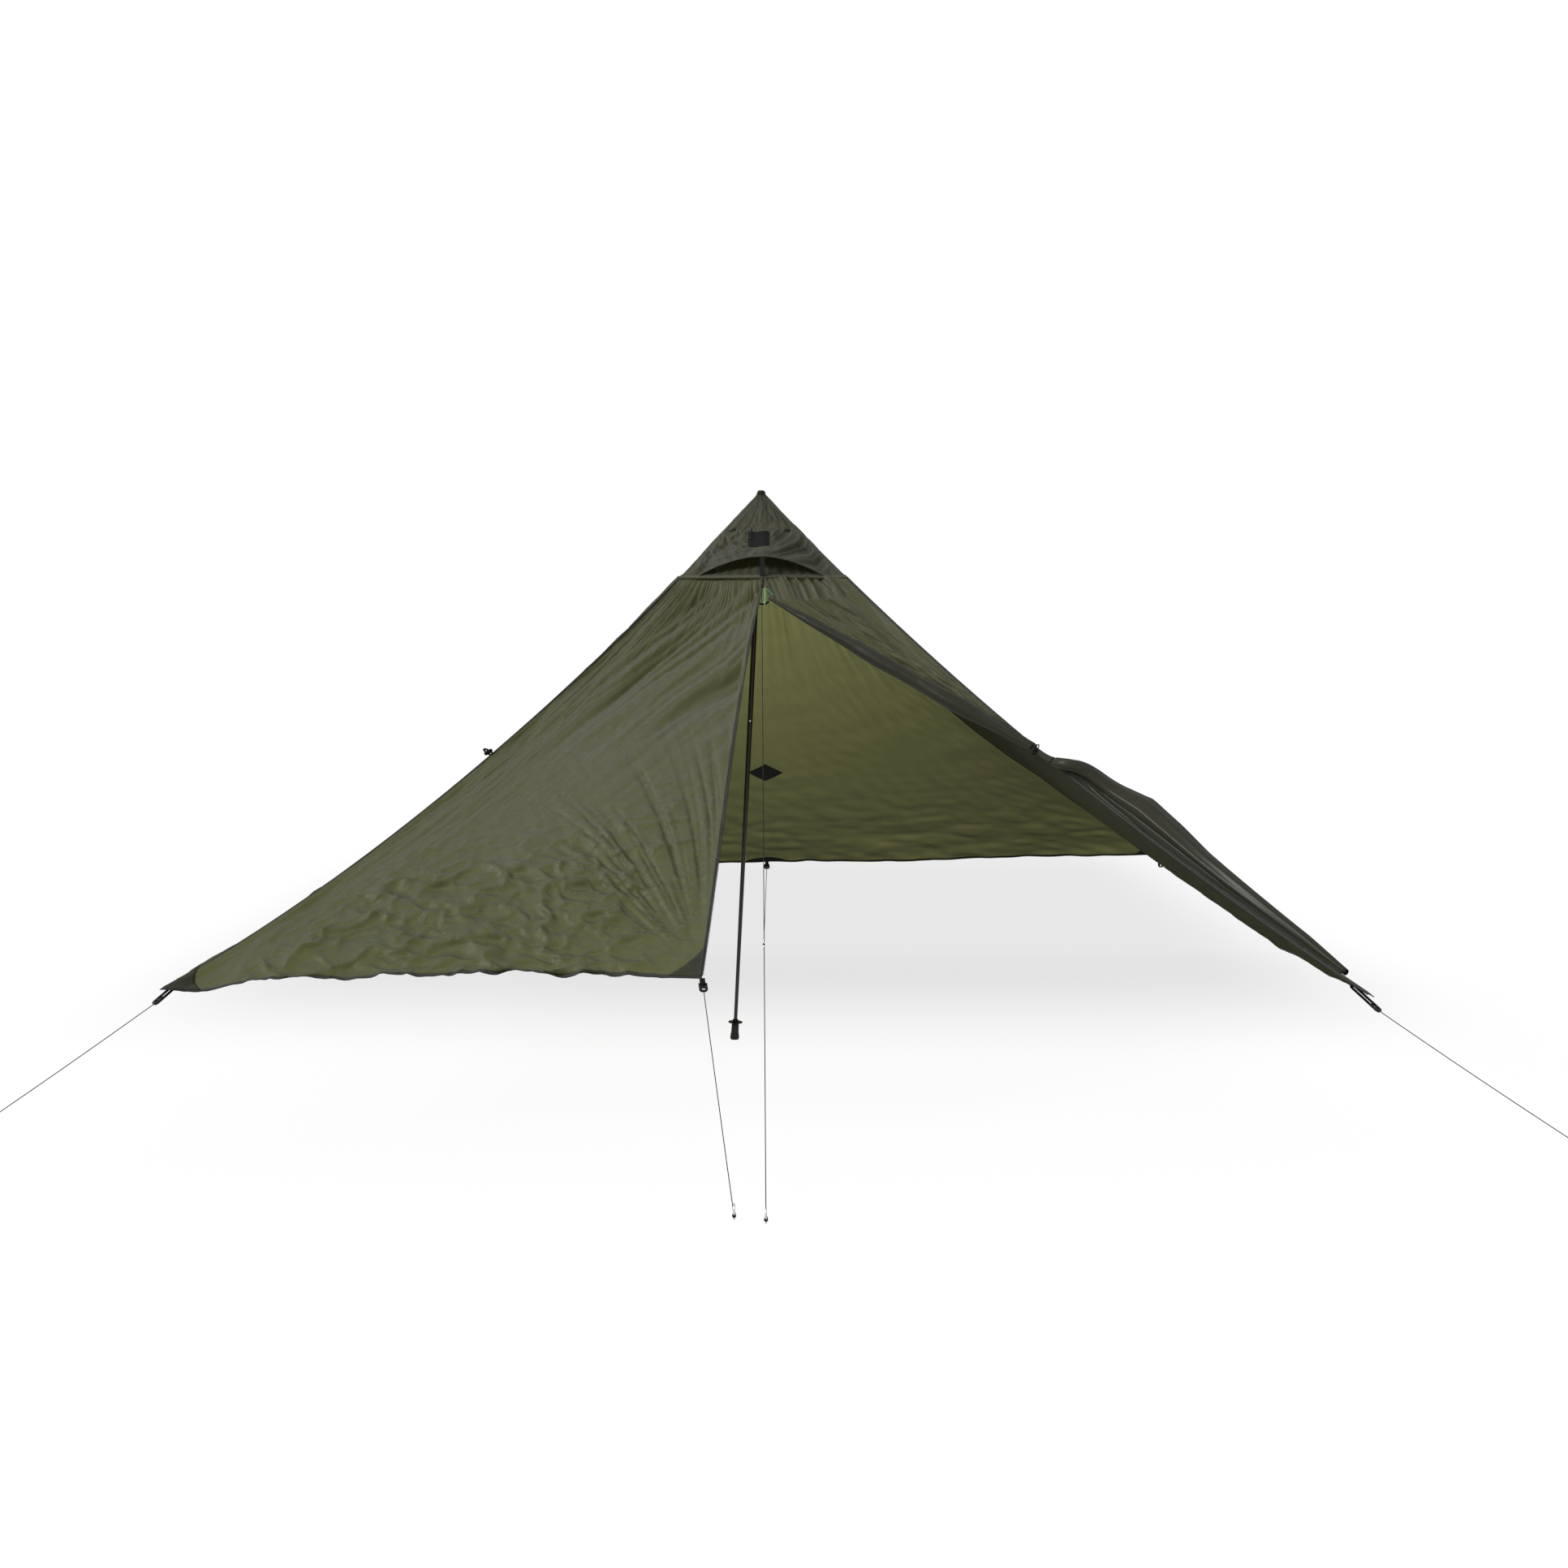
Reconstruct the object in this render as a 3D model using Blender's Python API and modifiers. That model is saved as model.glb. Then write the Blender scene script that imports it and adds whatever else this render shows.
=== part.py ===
"""Single-pole pyramid camping tarp, pitched with its left door shut and its right door tied back.

Units are metres, +Z is up, the doors face -Y. The origin is the ground under the pole's foot.
Run with: blender --background --python part.py
"""
import math

import bmesh
import bpy
from mathutils import Matrix, Vector

# Pitched tarp
BASE_HALF = 1.400
PEAK_HEIGHT = 1.610
PEAK_SHIFT = -0.017
TARP_CENTRE_X = 0.095
FRONT_LEFT_HEIGHT = 0.373
FRONT_RIGHT_HEIGHT = 0.356
BACK_CORNER_HEIGHT = 0.400
BACK_MID_HEIGHT = 0.373
SIDE_MID_HEIGHT = 0.385
SIDE_HEM_HOLLOW = 0.045
RIGHT_HEM_DROOP = 0.016
BACK_HEM_POWER = 1.3
DOOR_FOOT_HEIGHT = 0.399
DOOR_FOOT_X = -0.150
DOOR_HOLLOW = 0.025
DOOR_HEM_RISE = 0.010

# How far each ridge and wall sags, as a share of its run
FRONT_LEFT_SAG = (0.099, 0.122)
FRONT_RIGHT_SAG = (0.081, 0.072)
BACK_SAG = (0.180, 0.040)
SIDE_WALL_SAG = (0.100, 0.100)
BACK_WALL_SAG = (0.080, 0.080)

# Cloth and trim
CLOTH = 0.0006
GAP = 0.0005
TAPE_R = 0.0025
EDGE_INSET = TAPE_R + 0.0010
SEAM_GAP = 0.0012
PATCH_LIFT = 0.0012
PATCH_HEM = 0.085
PATCH_RIDGE = 0.090
PATCH_TIP = 0.06
PATCH_FOLD_LIFT = 1.6
FOLDED_WING = (-0.010, -0.012, 0.014)
DOOR_PATCH_HEM = 0.080
DOOR_PATCH_EDGE = 0.105
DOOR_PATCH_TIP = 0.05
MID_PATCH_HALF = 0.085
MID_PATCH_RISE = 0.030
DIAMOND_HALF_W = 0.059
DIAMOND_HALF_H = 0.050

# Peak cap and vent
SEAM_HEIGHT = 1.350
CAP_TOP_RISE = 0.025
CAP_DOME_HEIGHT = PEAK_HEIGHT - CAP_TOP_RISE
VENT_TOP_HEIGHT = 1.490
BRIM_RISE = 0.050
BRIM_PROUD = 0.052
BRIM_LEFT_X = -0.194
BRIM_RIGHT_X = 0.160
BRIM_ARCH_POWER = 0.75
BRIM_SWELL_POWER = 1.3
BRIM_TILT = 0.1
LINING_TOP = 1.425
LINING_RECESS = 0.0020
PLEAT_COUNT = 13
PLEAT_DEPTH = 0.0030
LINING_START = 0.08
LINING_SPAN = 0.84
STRUT_WIDTH = 0.014
STRUT_THICK = 0.0012
STRUT_FOOT_OFFSET = (0.0, -0.0030, 0.0010)
STRUT_TOP_BACK = 0.0005

# Zip
ZIP_OPEN_S = 0.240
ZIP_FREE_S = 0.226
ZIP_TOP_X = -0.012
ZIP_BOW = 0.081
SLIDER_LENGTH = 0.014
SLIDER_WIDTH = 0.009
SLIDER_THICK = 0.0045
SLIDER_EDGE = 0.0012
PULL_R = 0.0012
PULL_LENGTH = 0.055
PULL_OFFSET = 0.0035
PULL_HANG = 0.0016
STRAP_S = 0.278
STRAP_SAG = 0.0045
STRAP_BACK = 0.0020
STRAP_R = 0.0018
STRAP_UNDER_ROLL = 0.0030

# Rolled door
TIE_S = 0.510
ROLL_START = (0.006, -0.376, 1.288)
ROLL_R_START = 0.0055
ROLL_R_MIDDLE = 0.0215
PINCH_R = 0.0120
ROLL_TURNS = 1.8
FLAP_TURNS = 1.7
SCROLL_CORE = 0.40
ROLL_END = 0.990
ROLL_SEAM_ANGLE = math.radians(190.0)
FLAP_SEAM_ANGLE = math.radians(215.0)
FLAP_START = 0.012
# Share of the run past the tie, half height and half width of the tied-back bundle
FLAP_SIZES = ((0.00, 0.0120, 0.0120), (0.06, 0.0135, 0.0150), (0.125, 0.0210, 0.0240),
              (0.20, 0.0265, 0.0340), (0.33, 0.0425, 0.0440), (0.42, 0.0385, 0.0460),
              (0.53, 0.0305, 0.0430), (0.70, 0.0240, 0.0330), (0.87, 0.0170, 0.0230),
              (1.00, 0.0080, 0.0120))
FLAP_END_S = 0.960
PANEL_END_S = 0.478
PANEL_HOLLOW = 0.012
PANEL_PLEAT = 0.003
PANEL_ZIP_SHARE = 0.10
PANEL_ROLL_RUN = (0.004, 0.955)
FLAP_TWIST_RISE = 0.030
FLAP_LEAN = 0.45
FLAP_REST_GAP = 0.0014
TIE_CORD_R = 0.0014
TIE_GAP = 0.0009
TOGGLE_R = 0.0045
TOGGLE_LENGTH = 0.024

# Pull-out tabs on the walls
TAB_S = 0.600
BACK_TAB_S = 0.660
TAB_WIDTH = 0.020
TAB_LENGTH = 0.034
TAB_EYE_R = 0.0050
TAB_THICK = 0.0020
TAB_STRAIGHT = 0.55

# Line adjusters and their webbing loops
ADJUSTER_LENGTH = 0.026
ADJUSTER_WIDTH = 0.020
ADJUSTER_THICK = 0.0050
ADJUSTER_BAR = 0.0035
SLOT_LENGTH = 0.0060
SLOT_WIDTH = 0.0140
ADJUSTER_CHAMFER = 0.0060
ADJUSTER_NOSE = 0.55
LINE_BAR = 0.0040
LINE_SLOT_INSET = 0.0035
LINE_SLOT_HALF = (0.005, 0.003)
WEBBING_WIDTH = 0.0120
WEBBING_THICK = 0.0010
WEBBING_REACH = 0.0190
LOOP_CLEARANCE = 0.0003
CORNER_LOOP_INSET = 0.040
LEFT_LOOP_DROP = 0.0062
RIGHT_LOOP_DROP = 0.0081
CORNER_LINE_OUT = 0.0125
CORNER_LINE_DROP = 0.0330

# Pole
POLE_TOP_GAP = 0.0027
GRIP_LENGTH = 0.130
GRIP_R = 0.0155
GRIP_BORE_SHARE = 0.5
TUBE_PLUG = 0.004
UPPER_TUBE_R = 0.0075
UPPER_TUBE_BORE = 0.0066
UPPER_TUBE_FOOT = 0.905
NECK_LENGTH = 0.100
LOWER_TUBE_R_TOP = 0.0074
LOWER_TUBE_R_FOOT = 0.0052
POLE_CLEARANCE = 0.0003
BUTTON_HEIGHT = 0.935
BUTTON_R = 0.0030
BUTTON_PROUD = 0.0018
BUTTON_INNER_END = 0.0020
BUTTON_HOLE_END = 0.012
UPPER_HOLE_START = 0.004
BUTTON_TRAVEL_ROOM = 0.0030
BASKET_R = 0.0215
BASKET_THICK = 0.0050
BASKET_HUB_R = 0.0095
BASKET_HUB_RISE = 0.0060
FOOT_LENGTH = 0.046
FOOT_R_TOP = 0.0105
FOOT_R_SOLE = 0.0130
FOOT_GRIP = 0.020
FOOT_DEPTH = 0.006
BASKET_GAP = 0.002

# Guy lines and pegs
CORD_R = 0.0010
PEG_R = 0.0021
PEG_LENGTH = 0.150
PEG_OUT = 0.022
PEG_LEAN = 0.45
PEG_HOOK_R = 0.008
PEG_HOOK_TURN = 200.0
CORNER_PEG = 1.880
BACK_PEG = (-0.012, 1.900)
DOOR_PEG = (-0.067, -2.000)
PEAK_PEG = (-0.002, -2.030)
PEAK_LINE_S = 0.2475
TIE_HEIGHT = 0.008

COLLECTION = "camping_tarp"


def clear_scene():
    for old in list(bpy.data.objects):
        bpy.data.objects.remove(old, do_unlink=True)


def make_collection(name):
    collection = bpy.data.collections.new(name)
    bpy.context.scene.collection.children.link(collection)
    return collection


def make_material(name, colour, roughness, metallic=0.0):
    material = bpy.data.materials.new(name)
    material.use_nodes = True
    shader = material.node_tree.nodes["Principled BSDF"]
    shader.inputs["Base Color"].default_value = (*colour, 1.0)
    shader.inputs["Roughness"].default_value = roughness
    shader.inputs["Metallic"].default_value = metallic
    material.diffuse_color = (*colour, 1.0)
    return material


clear_scene()
PARTS = make_collection(COLLECTION)
CUTTERS = make_collection(COLLECTION + "_cutters")
FRAME = bpy.data.objects.new("tarp_frame", None)
FRAME.location = (TARP_CENTRE_X, 0.0, 0.0)
PARTS.objects.link(FRAME)
OLIVE = make_material("olive_ripstop", (0.070, 0.078, 0.035), 0.45)
OLIVE_ROLLED = make_material("olive_ripstop_rolled", (0.045, 0.047, 0.032), 0.40)
GREY_TRIM = make_material("dark_grey_trim", (0.030, 0.030, 0.028), 0.60)
WEBBING = make_material("black_webbing", (0.012, 0.012, 0.012), 0.70)
PLASTIC = make_material("black_plastic", (0.015, 0.015, 0.015), 0.40)
MESH_LINING = make_material("vent_lining", (0.080, 0.090, 0.040), 0.60)
REFLECTIVE = make_material("green_pull_cord", (0.180, 0.550, 0.300), 0.50)
GUY_CORD = make_material("dark_guy_cord", (0.030, 0.030, 0.025), 0.60)
TUBE_METAL = make_material("anodised_tube", (0.020, 0.020, 0.020), 0.30, 0.8)
BUTTON_STEEL = make_material("button_steel", (0.450, 0.450, 0.450), 0.30, 1.0)
RUBBER = make_material("black_rubber", (0.015, 0.015, 0.014), 0.65)
FOAM = make_material("grip_foam", (0.020, 0.020, 0.020), 0.85)
PEG_METAL = make_material("peg_aluminium", (0.550, 0.550, 0.560), 0.35, 1.0)


# Curves that the cloth hangs from

APEX = Vector((PEAK_SHIFT, 0.0, PEAK_HEIGHT))
CORNERS = {
    "front_left": (Vector((-BASE_HALF, -BASE_HALF, FRONT_LEFT_HEIGHT)), FRONT_LEFT_SAG),
    "front_right": (Vector((BASE_HALF, -BASE_HALF, FRONT_RIGHT_HEIGHT)), FRONT_RIGHT_SAG),
    "back_left": (Vector((-BASE_HALF, BASE_HALF, BACK_CORNER_HEIGHT)), BACK_SAG),
    "back_right": (Vector((BASE_HALF, BASE_HALF, BACK_CORNER_HEIGHT)), BACK_SAG),
}
MIDDLES = {
    "left": (Vector((SIDE_HEM_HOLLOW - BASE_HALF, 0.0, SIDE_MID_HEIGHT)), SIDE_WALL_SAG),
    "right": (Vector((BASE_HALF - SIDE_HEM_HOLLOW, 0.0, SIDE_MID_HEIGHT)), SIDE_WALL_SAG),
    "back": (Vector((0.0, BASE_HALF, BACK_MID_HEIGHT)), BACK_WALL_SAG),
}
WALLS = {
    "left": ("front_left", "back_left"),
    "back": ("back_left", "back_right"),
    "right": ("back_right", "front_right"),
}


def hanging_point(foot, sag, s):
    """Point on a sagging line from the peak (s = 0) to a foot (s = 1)."""
    point = APEX.lerp(foot, s)
    depth = sag[0] + (sag[1] - sag[0]) * s * s
    point.z -= 4.0 * depth * s * (1.0 - s)
    return point


def ridge_point(corner, s):
    return hanging_point(*CORNERS[corner], s)


def zip_point(s):
    """Point on the shut door's zip edge, which runs down the middle of the front."""
    if s < ZIP_OPEN_S:
        x = PEAK_SHIFT + (ZIP_TOP_X - PEAK_SHIFT) * s / ZIP_OPEN_S
    else:
        u = (s - ZIP_OPEN_S) / (1.0 - ZIP_OPEN_S)
        x = ZIP_TOP_X + (DOOR_FOOT_X - ZIP_TOP_X) * u - ZIP_BOW * u * (1.0 - u) ** 2
    z = PEAK_HEIGHT + (DOOR_FOOT_HEIGHT - PEAK_HEIGHT) * s
    return Vector((x, -BASE_HALF * s, z))


def wall_point(wall, s, t):
    """Point on a whole wall: t runs from one ridge (-1) over the middle (0) to the other (1)."""
    first, second = WALLS[wall]
    share = abs(t) ** (BACK_HEM_POWER if wall == "back" else 2.0)
    a = ridge_point(first, s) * ((share - t) / 2.0)
    b = ridge_point(second, s) * ((share + t) / 2.0)
    point = a + hanging_point(*MIDDLES[wall], s) * (1.0 - share) + b
    if wall == "right" and t > 0.0:
        point.z -= RIGHT_HEM_DROOP * 4.0 * t * (1.0 - t) * s ** 6
    return point


def door_point(s, t):
    """Point on the shut left door: t runs from the front left ridge (0) to the zip edge (1)."""
    point = ridge_point("front_left", s).lerp(zip_point(s), t)
    bow = 4.0 * t * (1.0 - t) * s
    return point + Vector((0.0, DOOR_HOLLOW * bow, DOOR_HEM_RISE * bow * s))


def s_at_height(line, height):
    """Share s at which a line from the peak comes down to a height."""
    low, high = 0.0, 1.0
    for _ in range(40):
        s = (low + high) / 2.0
        if line(s).z > height:
            low = s
        else:
            high = s
    return s


def surface_normal(surface, a, b, outward):
    """Unit normal of a surface of two shares, on the side that outward points to."""
    step = 0.002
    along = surface(a + step, b) - surface(a - step, b)
    across = surface(a, b + step) - surface(a, b - step)
    normal = along.cross(across).normalized()
    if normal.dot(outward) < 0.0:
        normal.negate()
    return normal


OUTWARD = {
    "left": Vector((-1.0, 0.0, 1.0)),
    "right": Vector((1.0, 0.0, 1.0)),
    "back": Vector((0.0, 1.0, 1.0)),
    "front": Vector((0.0, -1.0, 1.0)),
}


# Ways to make a piece

def add_object(name, data, material):
    part = bpy.data.objects.new(name, data)
    data.materials.append(material)
    PARTS.objects.link(part)
    part.parent = FRAME
    return part


def grid_mesh(name, columns, rows, place):
    """Grid of columns x rows faces; place(i, j) gives the point of each corner."""
    mesh = bpy.data.meshes.new(name)
    bm = bmesh.new()
    bmesh.ops.create_grid(bm, x_segments=columns, y_segments=rows, size=1.0)
    for vertex in bm.verts:
        i = round((vertex.co.x + 1.0) / 2.0 * columns)
        j = round((vertex.co.y + 1.0) / 2.0 * rows)
        vertex.co = place(i, j)
    bm.to_mesh(mesh)
    bm.free()
    return mesh


def add_solidify(part, thickness=CLOTH):
    solid = part.modifiers.new("thickness", "SOLIDIFY")
    solid.thickness = thickness
    solid.offset = 0.0
    return part


def sheet(name, columns, rows, place, material, thickness=CLOTH):
    mesh = grid_mesh(name, columns, rows, place)
    part = add_object(name, mesh, material)
    mesh.shade_smooth()
    return add_solidify(part, thickness)


def tube(name, points, radius, material, sides=2):
    """Round cord, binding or wire along points, with flat closed ends."""
    curve = bpy.data.curves.new(name, "CURVE")
    curve.dimensions = "3D"
    curve.bevel_depth = radius
    curve.bevel_resolution = sides
    curve.use_fill_caps = True
    spline = curve.splines.new("POLY")
    spline.points.add(len(points) - 1)
    for target, point in zip(spline.points, points):
        target.co = (*point, 1.0)
    return add_object(name, curve, material)


def turned(name, profile, material, steps=24):
    """Solid turned about Z from (radius, height) pairs, from its top down its outer side."""
    mesh = bpy.data.meshes.new(name)
    bm = bmesh.new()
    verts = [bm.verts.new((radius, 0.0, height)) for radius, height in profile]
    for a, b in zip(verts, verts[1:]):
        bm.edges.new((a, b))
    bm.to_mesh(mesh)
    bm.free()
    part = add_object(name, mesh, material)
    screw = part.modifiers.new("turn", "SCREW")
    screw.steps = steps
    screw.render_steps = steps
    screw.use_merge_vertices = True
    screw.merge_threshold = 0.00001
    screw.use_smooth_shade = True
    return part


def turn_about(part, origin, direction):
    """Place a turned part with its own Z along a direction."""
    part.rotation_mode = "QUATERNION"
    part.rotation_quaternion = Vector((0.0, 0.0, 1.0)).rotation_difference(Vector(direction))
    part.location = origin


def flat_outline(name, loops, half_thick, material):
    """Flat plate with holes: the first loop is its outline, the others its holes."""
    curve = bpy.data.curves.new(name, "CURVE")
    curve.dimensions = "2D"
    curve.fill_mode = "BOTH"
    curve.extrude = half_thick
    for loop in loops:
        spline = curve.splines.new("POLY")
        spline.points.add(len(loop) - 1)
        for target, (x, y) in zip(spline.points, loop):
            target.co = (x, y, 0.0, 1.0)
        spline.use_cyclic_u = True
    return add_object(name, curve, material)


def cut(part, cutter):
    cutter.hide_render = True
    cutter.display_type = "WIRE"
    for collection in list(cutter.users_collection):
        collection.objects.unlink(cutter)
    CUTTERS.objects.link(cutter)
    boolean = part.modifiers.new("cut", "BOOLEAN")
    boolean.operation = "DIFFERENCE"
    boolean.solver = "EXACT"
    boolean.object = cutter


def rounded_box(name, size, bevel, material):
    mesh = bpy.data.meshes.new(name)
    bm = bmesh.new()
    bmesh.ops.create_cube(bm, size=1.0)
    bmesh.ops.scale(bm, vec=size, verts=bm.verts)
    bm.to_mesh(mesh)
    bm.free()
    part = add_object(name, mesh, material)
    if bevel > 0.0:
        edge = part.modifiers.new("edges", "BEVEL")
        edge.width = bevel
        edge.segments = 2
    return part


def arc(centre, radius, start, end, count):
    cx, cy = centre
    angles = [math.radians(start + (end - start) * i / (count - 1)) for i in range(count)]
    return [(cx + radius * math.cos(a), cy + radius * math.sin(a)) for a in angles]


def stadium(x0, x1, radius, count=7):
    """Outline of two half rounds joined by straight runs, centred on y = 0."""
    return arc((x1, 0.0), radius, -90, 90, count) + arc((x0, 0.0), radius, 90, 270, count)


def basis(x_axis, z_hint):
    """Rotation whose X is x_axis and whose Z is as near to z_hint as it can be."""
    x = Vector(x_axis).normalized()
    y = Vector(z_hint).cross(x).normalized()
    z = x.cross(y)
    return Matrix((x, y, z)).transposed().to_4x4()


def place_with(part, origin, x_axis, z_hint):
    part.rotation_mode = "QUATERNION"
    part.rotation_quaternion = basis(x_axis, z_hint).to_quaternion()
    part.location = origin


# Walls, doors and their bindings

WALL_COLUMNS = 10
DOOR_COLUMNS = 9
ROW_SHARES = (0.0, 0.032, 0.13, 0.25, 0.375, 0.5, 0.625, 0.75, 0.875, 1.0)


def run_length(line):
    return sum((line((k + 1) / 20.0) - line(k / 20.0)).length for k in range(20))


def row_shares(line):
    """Shares s of the cloth rows on a line from the peak, from the cap's seam to the hem."""
    top = s_at_height(line, SEAM_HEIGHT)
    return [top + (1.0 - top) * share for share in ROW_SHARES]


def on_runs(line, s):
    """Point at a share s on the straight runs between a line's rows."""
    shares = row_shares(line)
    for a, b in zip(shares, shares[1:]):
        if s <= b:
            return line(a).lerp(line(b), (s - a) / (b - a))
    return line(1.0)


class Cloth:
    """One panel between two lines from the peak, as a grid with even rows down its run."""

    def __init__(self, name, surface, ends, columns, outward):
        self.name = name
        self.surface = surface
        self.ends = ends
        self.columns = columns
        self.outward = outward
        middle = (ends[0] + ends[1]) / 2.0
        self.length = run_length(lambda s: surface(s, middle))
        self.width = (surface(1.0, ends[0]) - surface(1.0, ends[1])).length

    def t_at(self, i):
        return self.ends[0] + (self.ends[1] - self.ends[0]) * i / self.columns

    def column(self, i):
        """Line from the peak that column i of the grid follows."""
        t = self.t_at(i)
        return lambda s: self.surface(s, t)

    def place(self, i, j):
        """Corner (i, j) of the cut cloth, clear of its ridge tapes, hem binding and seam."""
        t = self.t_at(i)
        s = row_shares(self.column(i))[j]
        if j == 0:
            s += SEAM_GAP / self.length
        if s == 1.0:
            s -= EDGE_INSET / self.length
        if i in (0, self.columns):
            run = (self.surface(s, self.ends[0]) - self.surface(s, self.ends[1])).length
            inset = (self.ends[1] - self.ends[0]) * EDGE_INSET / run
            t += inset if i == 0 else -inset
        return self.surface(s, t)

    def at(self, s, t):
        """Point on the panel's own flat facets at a share s and t."""
        i = (t - self.ends[0]) / (self.ends[1] - self.ends[0]) * self.columns
        first = max(0, min(int(i), self.columns - 1))
        return on_runs(self.column(first), s).lerp(on_runs(self.column(first + 1), s), i - first)

    def lifted(self, s, t, lift):
        """Point off the panel's face, outwards where lift is positive."""
        return self.at(s, t) + surface_normal(self.surface, s, t, self.outward) * lift

    def make(self):
        return sheet(self.name, self.columns, len(ROW_SHARES) - 1, self.place, OLIVE)


def wall_surface(wall):
    return lambda s, t: wall_point(wall, s, t)


CLOTHS = {wall: Cloth("wall_" + wall, wall_surface(wall), (-1.0, 1.0), WALL_COLUMNS, OUTWARD[wall])
          for wall in WALLS}
CLOTHS["front"] = Cloth("door_left", door_point, (0.0, 1.0), DOOR_COLUMNS, OUTWARD["front"])


def ridge_line(corner):
    return lambda s: ridge_point(corner, s)


def patch_start(corner):
    """Share s at which the corner patch begins on its ridge."""
    length = (CORNERS[corner][0] - APEX).length
    return 1.0 - PATCH_RIDGE / length


def drawn_back(points, gap):
    """The same run of points with its first one moved along it by a gap."""
    direction = (points[1] - points[0]).normalized()
    return [points[0] + direction * gap] + points[1:]


def make_ridge_tapes():
    for corner in CORNERS:
        last = patch_start(corner) - 2.0 * GAP
        shares = [s for s in row_shares(ridge_line(corner)) if s < last - 0.01]
        points = [ridge_point(corner, s) for s in shares] + [on_runs(ridge_line(corner), last)]
        tube("ridge_tape_" + corner, drawn_back(points, SEAM_GAP), TAPE_R, GREY_TRIM, 1)


def make_hem_binding():
    """One binding from the shut door's foot round the back to the front right corner."""
    points = [door_point(1.0, 1.0 - i / DOOR_COLUMNS) for i in range(DOOR_COLUMNS + 1)]
    for wall in ("left", "back", "right"):
        ts = [-1.0 + 2.0 * i / WALL_COLUMNS for i in range(WALL_COLUMNS + 1)]
        points += [wall_point(wall, 1.0, t) for t in ts][1:]
    return tube("hem_binding", points, TAPE_R, GREY_TRIM, 1)


def make_zip_tape():
    points = drawn_back([zip_point(s) for s in row_shares(zip_point)], SEAM_GAP)
    points = drawn_back(points[::-1], TAPE_R + 2.0 * GAP)[::-1]
    return tube("zip_tape", points, TAPE_R, GREY_TRIM, 1)


def make_corner_patch(corner, wings):
    """Doubled cloth folded over a corner's ridge; each wing is (depth, b) to a point."""
    start = patch_start(corner)
    end = 1.0 - EDGE_INSET / (CORNERS[corner][0] - APEX).length
    half = 4
    rows = 3

    def place(i, j):
        depth = PATCH_TIP + (1.0 - PATCH_TIP) * j / rows
        if i == half:
            ridge = on_runs(ridge_line(corner), end - (end - start) * depth)
            return ridge + Vector((0.0, 0.0, PATCH_LIFT * PATCH_FOLD_LIFT))
        wing = wings[0] if i < half else wings[1]
        b = abs(i - half) / half
        return wing(end - (end - start) * depth * (1.0 - b), depth * b)

    return sheet("corner_patch_" + corner, 2 * half, rows, place, GREY_TRIM)


def cloth_wing(cloth, at_first):
    """Wing of a corner patch that lies on a cloth, beside its first or its last edge."""
    step = PATCH_HEM / cloth.width * (cloth.ends[1] - cloth.ends[0])
    edge, sign = (cloth.ends[0], 1.0) if at_first else (cloth.ends[1], -1.0)
    return lambda s, b: cloth.lifted(s, edge + sign * step * b, PATCH_LIFT)


def folded_wing(s, b):
    """Wing of the open door's corner patch, turned up over the ridge with its cloth."""
    return on_runs(ridge_line("front_right"), s) + Vector(FOLDED_WING) * b


def make_corner_patches():
    front, left, back, right = (CLOTHS[name] for name in ("front", "left", "back", "right"))
    make_corner_patch("front_left", (cloth_wing(front, True), cloth_wing(left, True)))
    make_corner_patch("back_left", (cloth_wing(left, False), cloth_wing(back, True)))
    make_corner_patch("back_right", (cloth_wing(back, False), cloth_wing(right, True)))
    make_corner_patch("front_right", (cloth_wing(right, False), folded_wing))


def make_door_patch():
    """Doubled cloth over the shut door's foot, a triangle between its hem and zip edge."""
    cloth = CLOTHS["front"]
    inset_s = EDGE_INSET / cloth.length
    inset_t = EDGE_INSET / cloth.width
    columns = 5
    rows = 3

    def place(i, j):
        depth = DOOR_PATCH_TIP + (1.0 - DOOR_PATCH_TIP) * j / rows
        b = i / columns
        s = 1.0 - inset_s - DOOR_PATCH_EDGE / cloth.length * depth * (1.0 - b)
        t = 1.0 - inset_t - DOOR_PATCH_HEM / cloth.width * depth * b
        return cloth.lifted(s, t, PATCH_LIFT)

    return sheet("door_patch", columns, rows, place, GREY_TRIM)


def make_back_mid_patch():
    """Arched doubled cloth inside the middle of the back hem."""
    cloth = CLOTHS["back"]

    def place(i, j):
        c = -1.0 + 2.0 * i / 8.0
        rise = MID_PATCH_RISE * (1.02 - c * c) * j / 2.0
        s = 1.0 - (EDGE_INSET + rise) / cloth.length
        return cloth.lifted(s, c * MID_PATCH_HALF / BASE_HALF, -PATCH_LIFT)

    return sheet("back_mid_patch", 8, 2, place, GREY_TRIM)


def make_diamond_patch():
    """Reinforcement inside the back wall, behind its pull-out tab."""
    cloth = CLOTHS["back"]

    def place(i, j):
        a = -1.0 + 2.0 * i / 4.0
        b = -1.0 + 2.0 * j / 4.0
        across = (a + b) / 2.0 * DIAMOND_HALF_W
        down = (b - a) / 2.0 * DIAMOND_HALF_H
        t = across / (BASE_HALF * BACK_TAB_S)
        return cloth.lifted(BACK_TAB_S + down / cloth.length, t, -PATCH_LIFT)

    return sheet("diamond_patch", 4, 4, place, WEBBING)


# Peak cap with its hooded vent

CAP_FRONT_COLUMNS = 8
CAP_DOME_RINGS = 3


def at_height(line, height):
    return line(s_at_height(line, height))


def front_base(c, height):
    """Front of the peak at a height: c runs from the left ridge (0) to the right ridge (1)."""
    middle = at_height(zip_point, height)
    if c < 0.5:
        edge = at_height(lambda s: ridge_point("front_left", s), height)
        return edge.lerp(middle, 2.0 * c)
    edge = at_height(lambda s: ridge_point("front_right", s), height)
    return middle.lerp(edge, 2.0 * c - 1.0)


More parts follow.
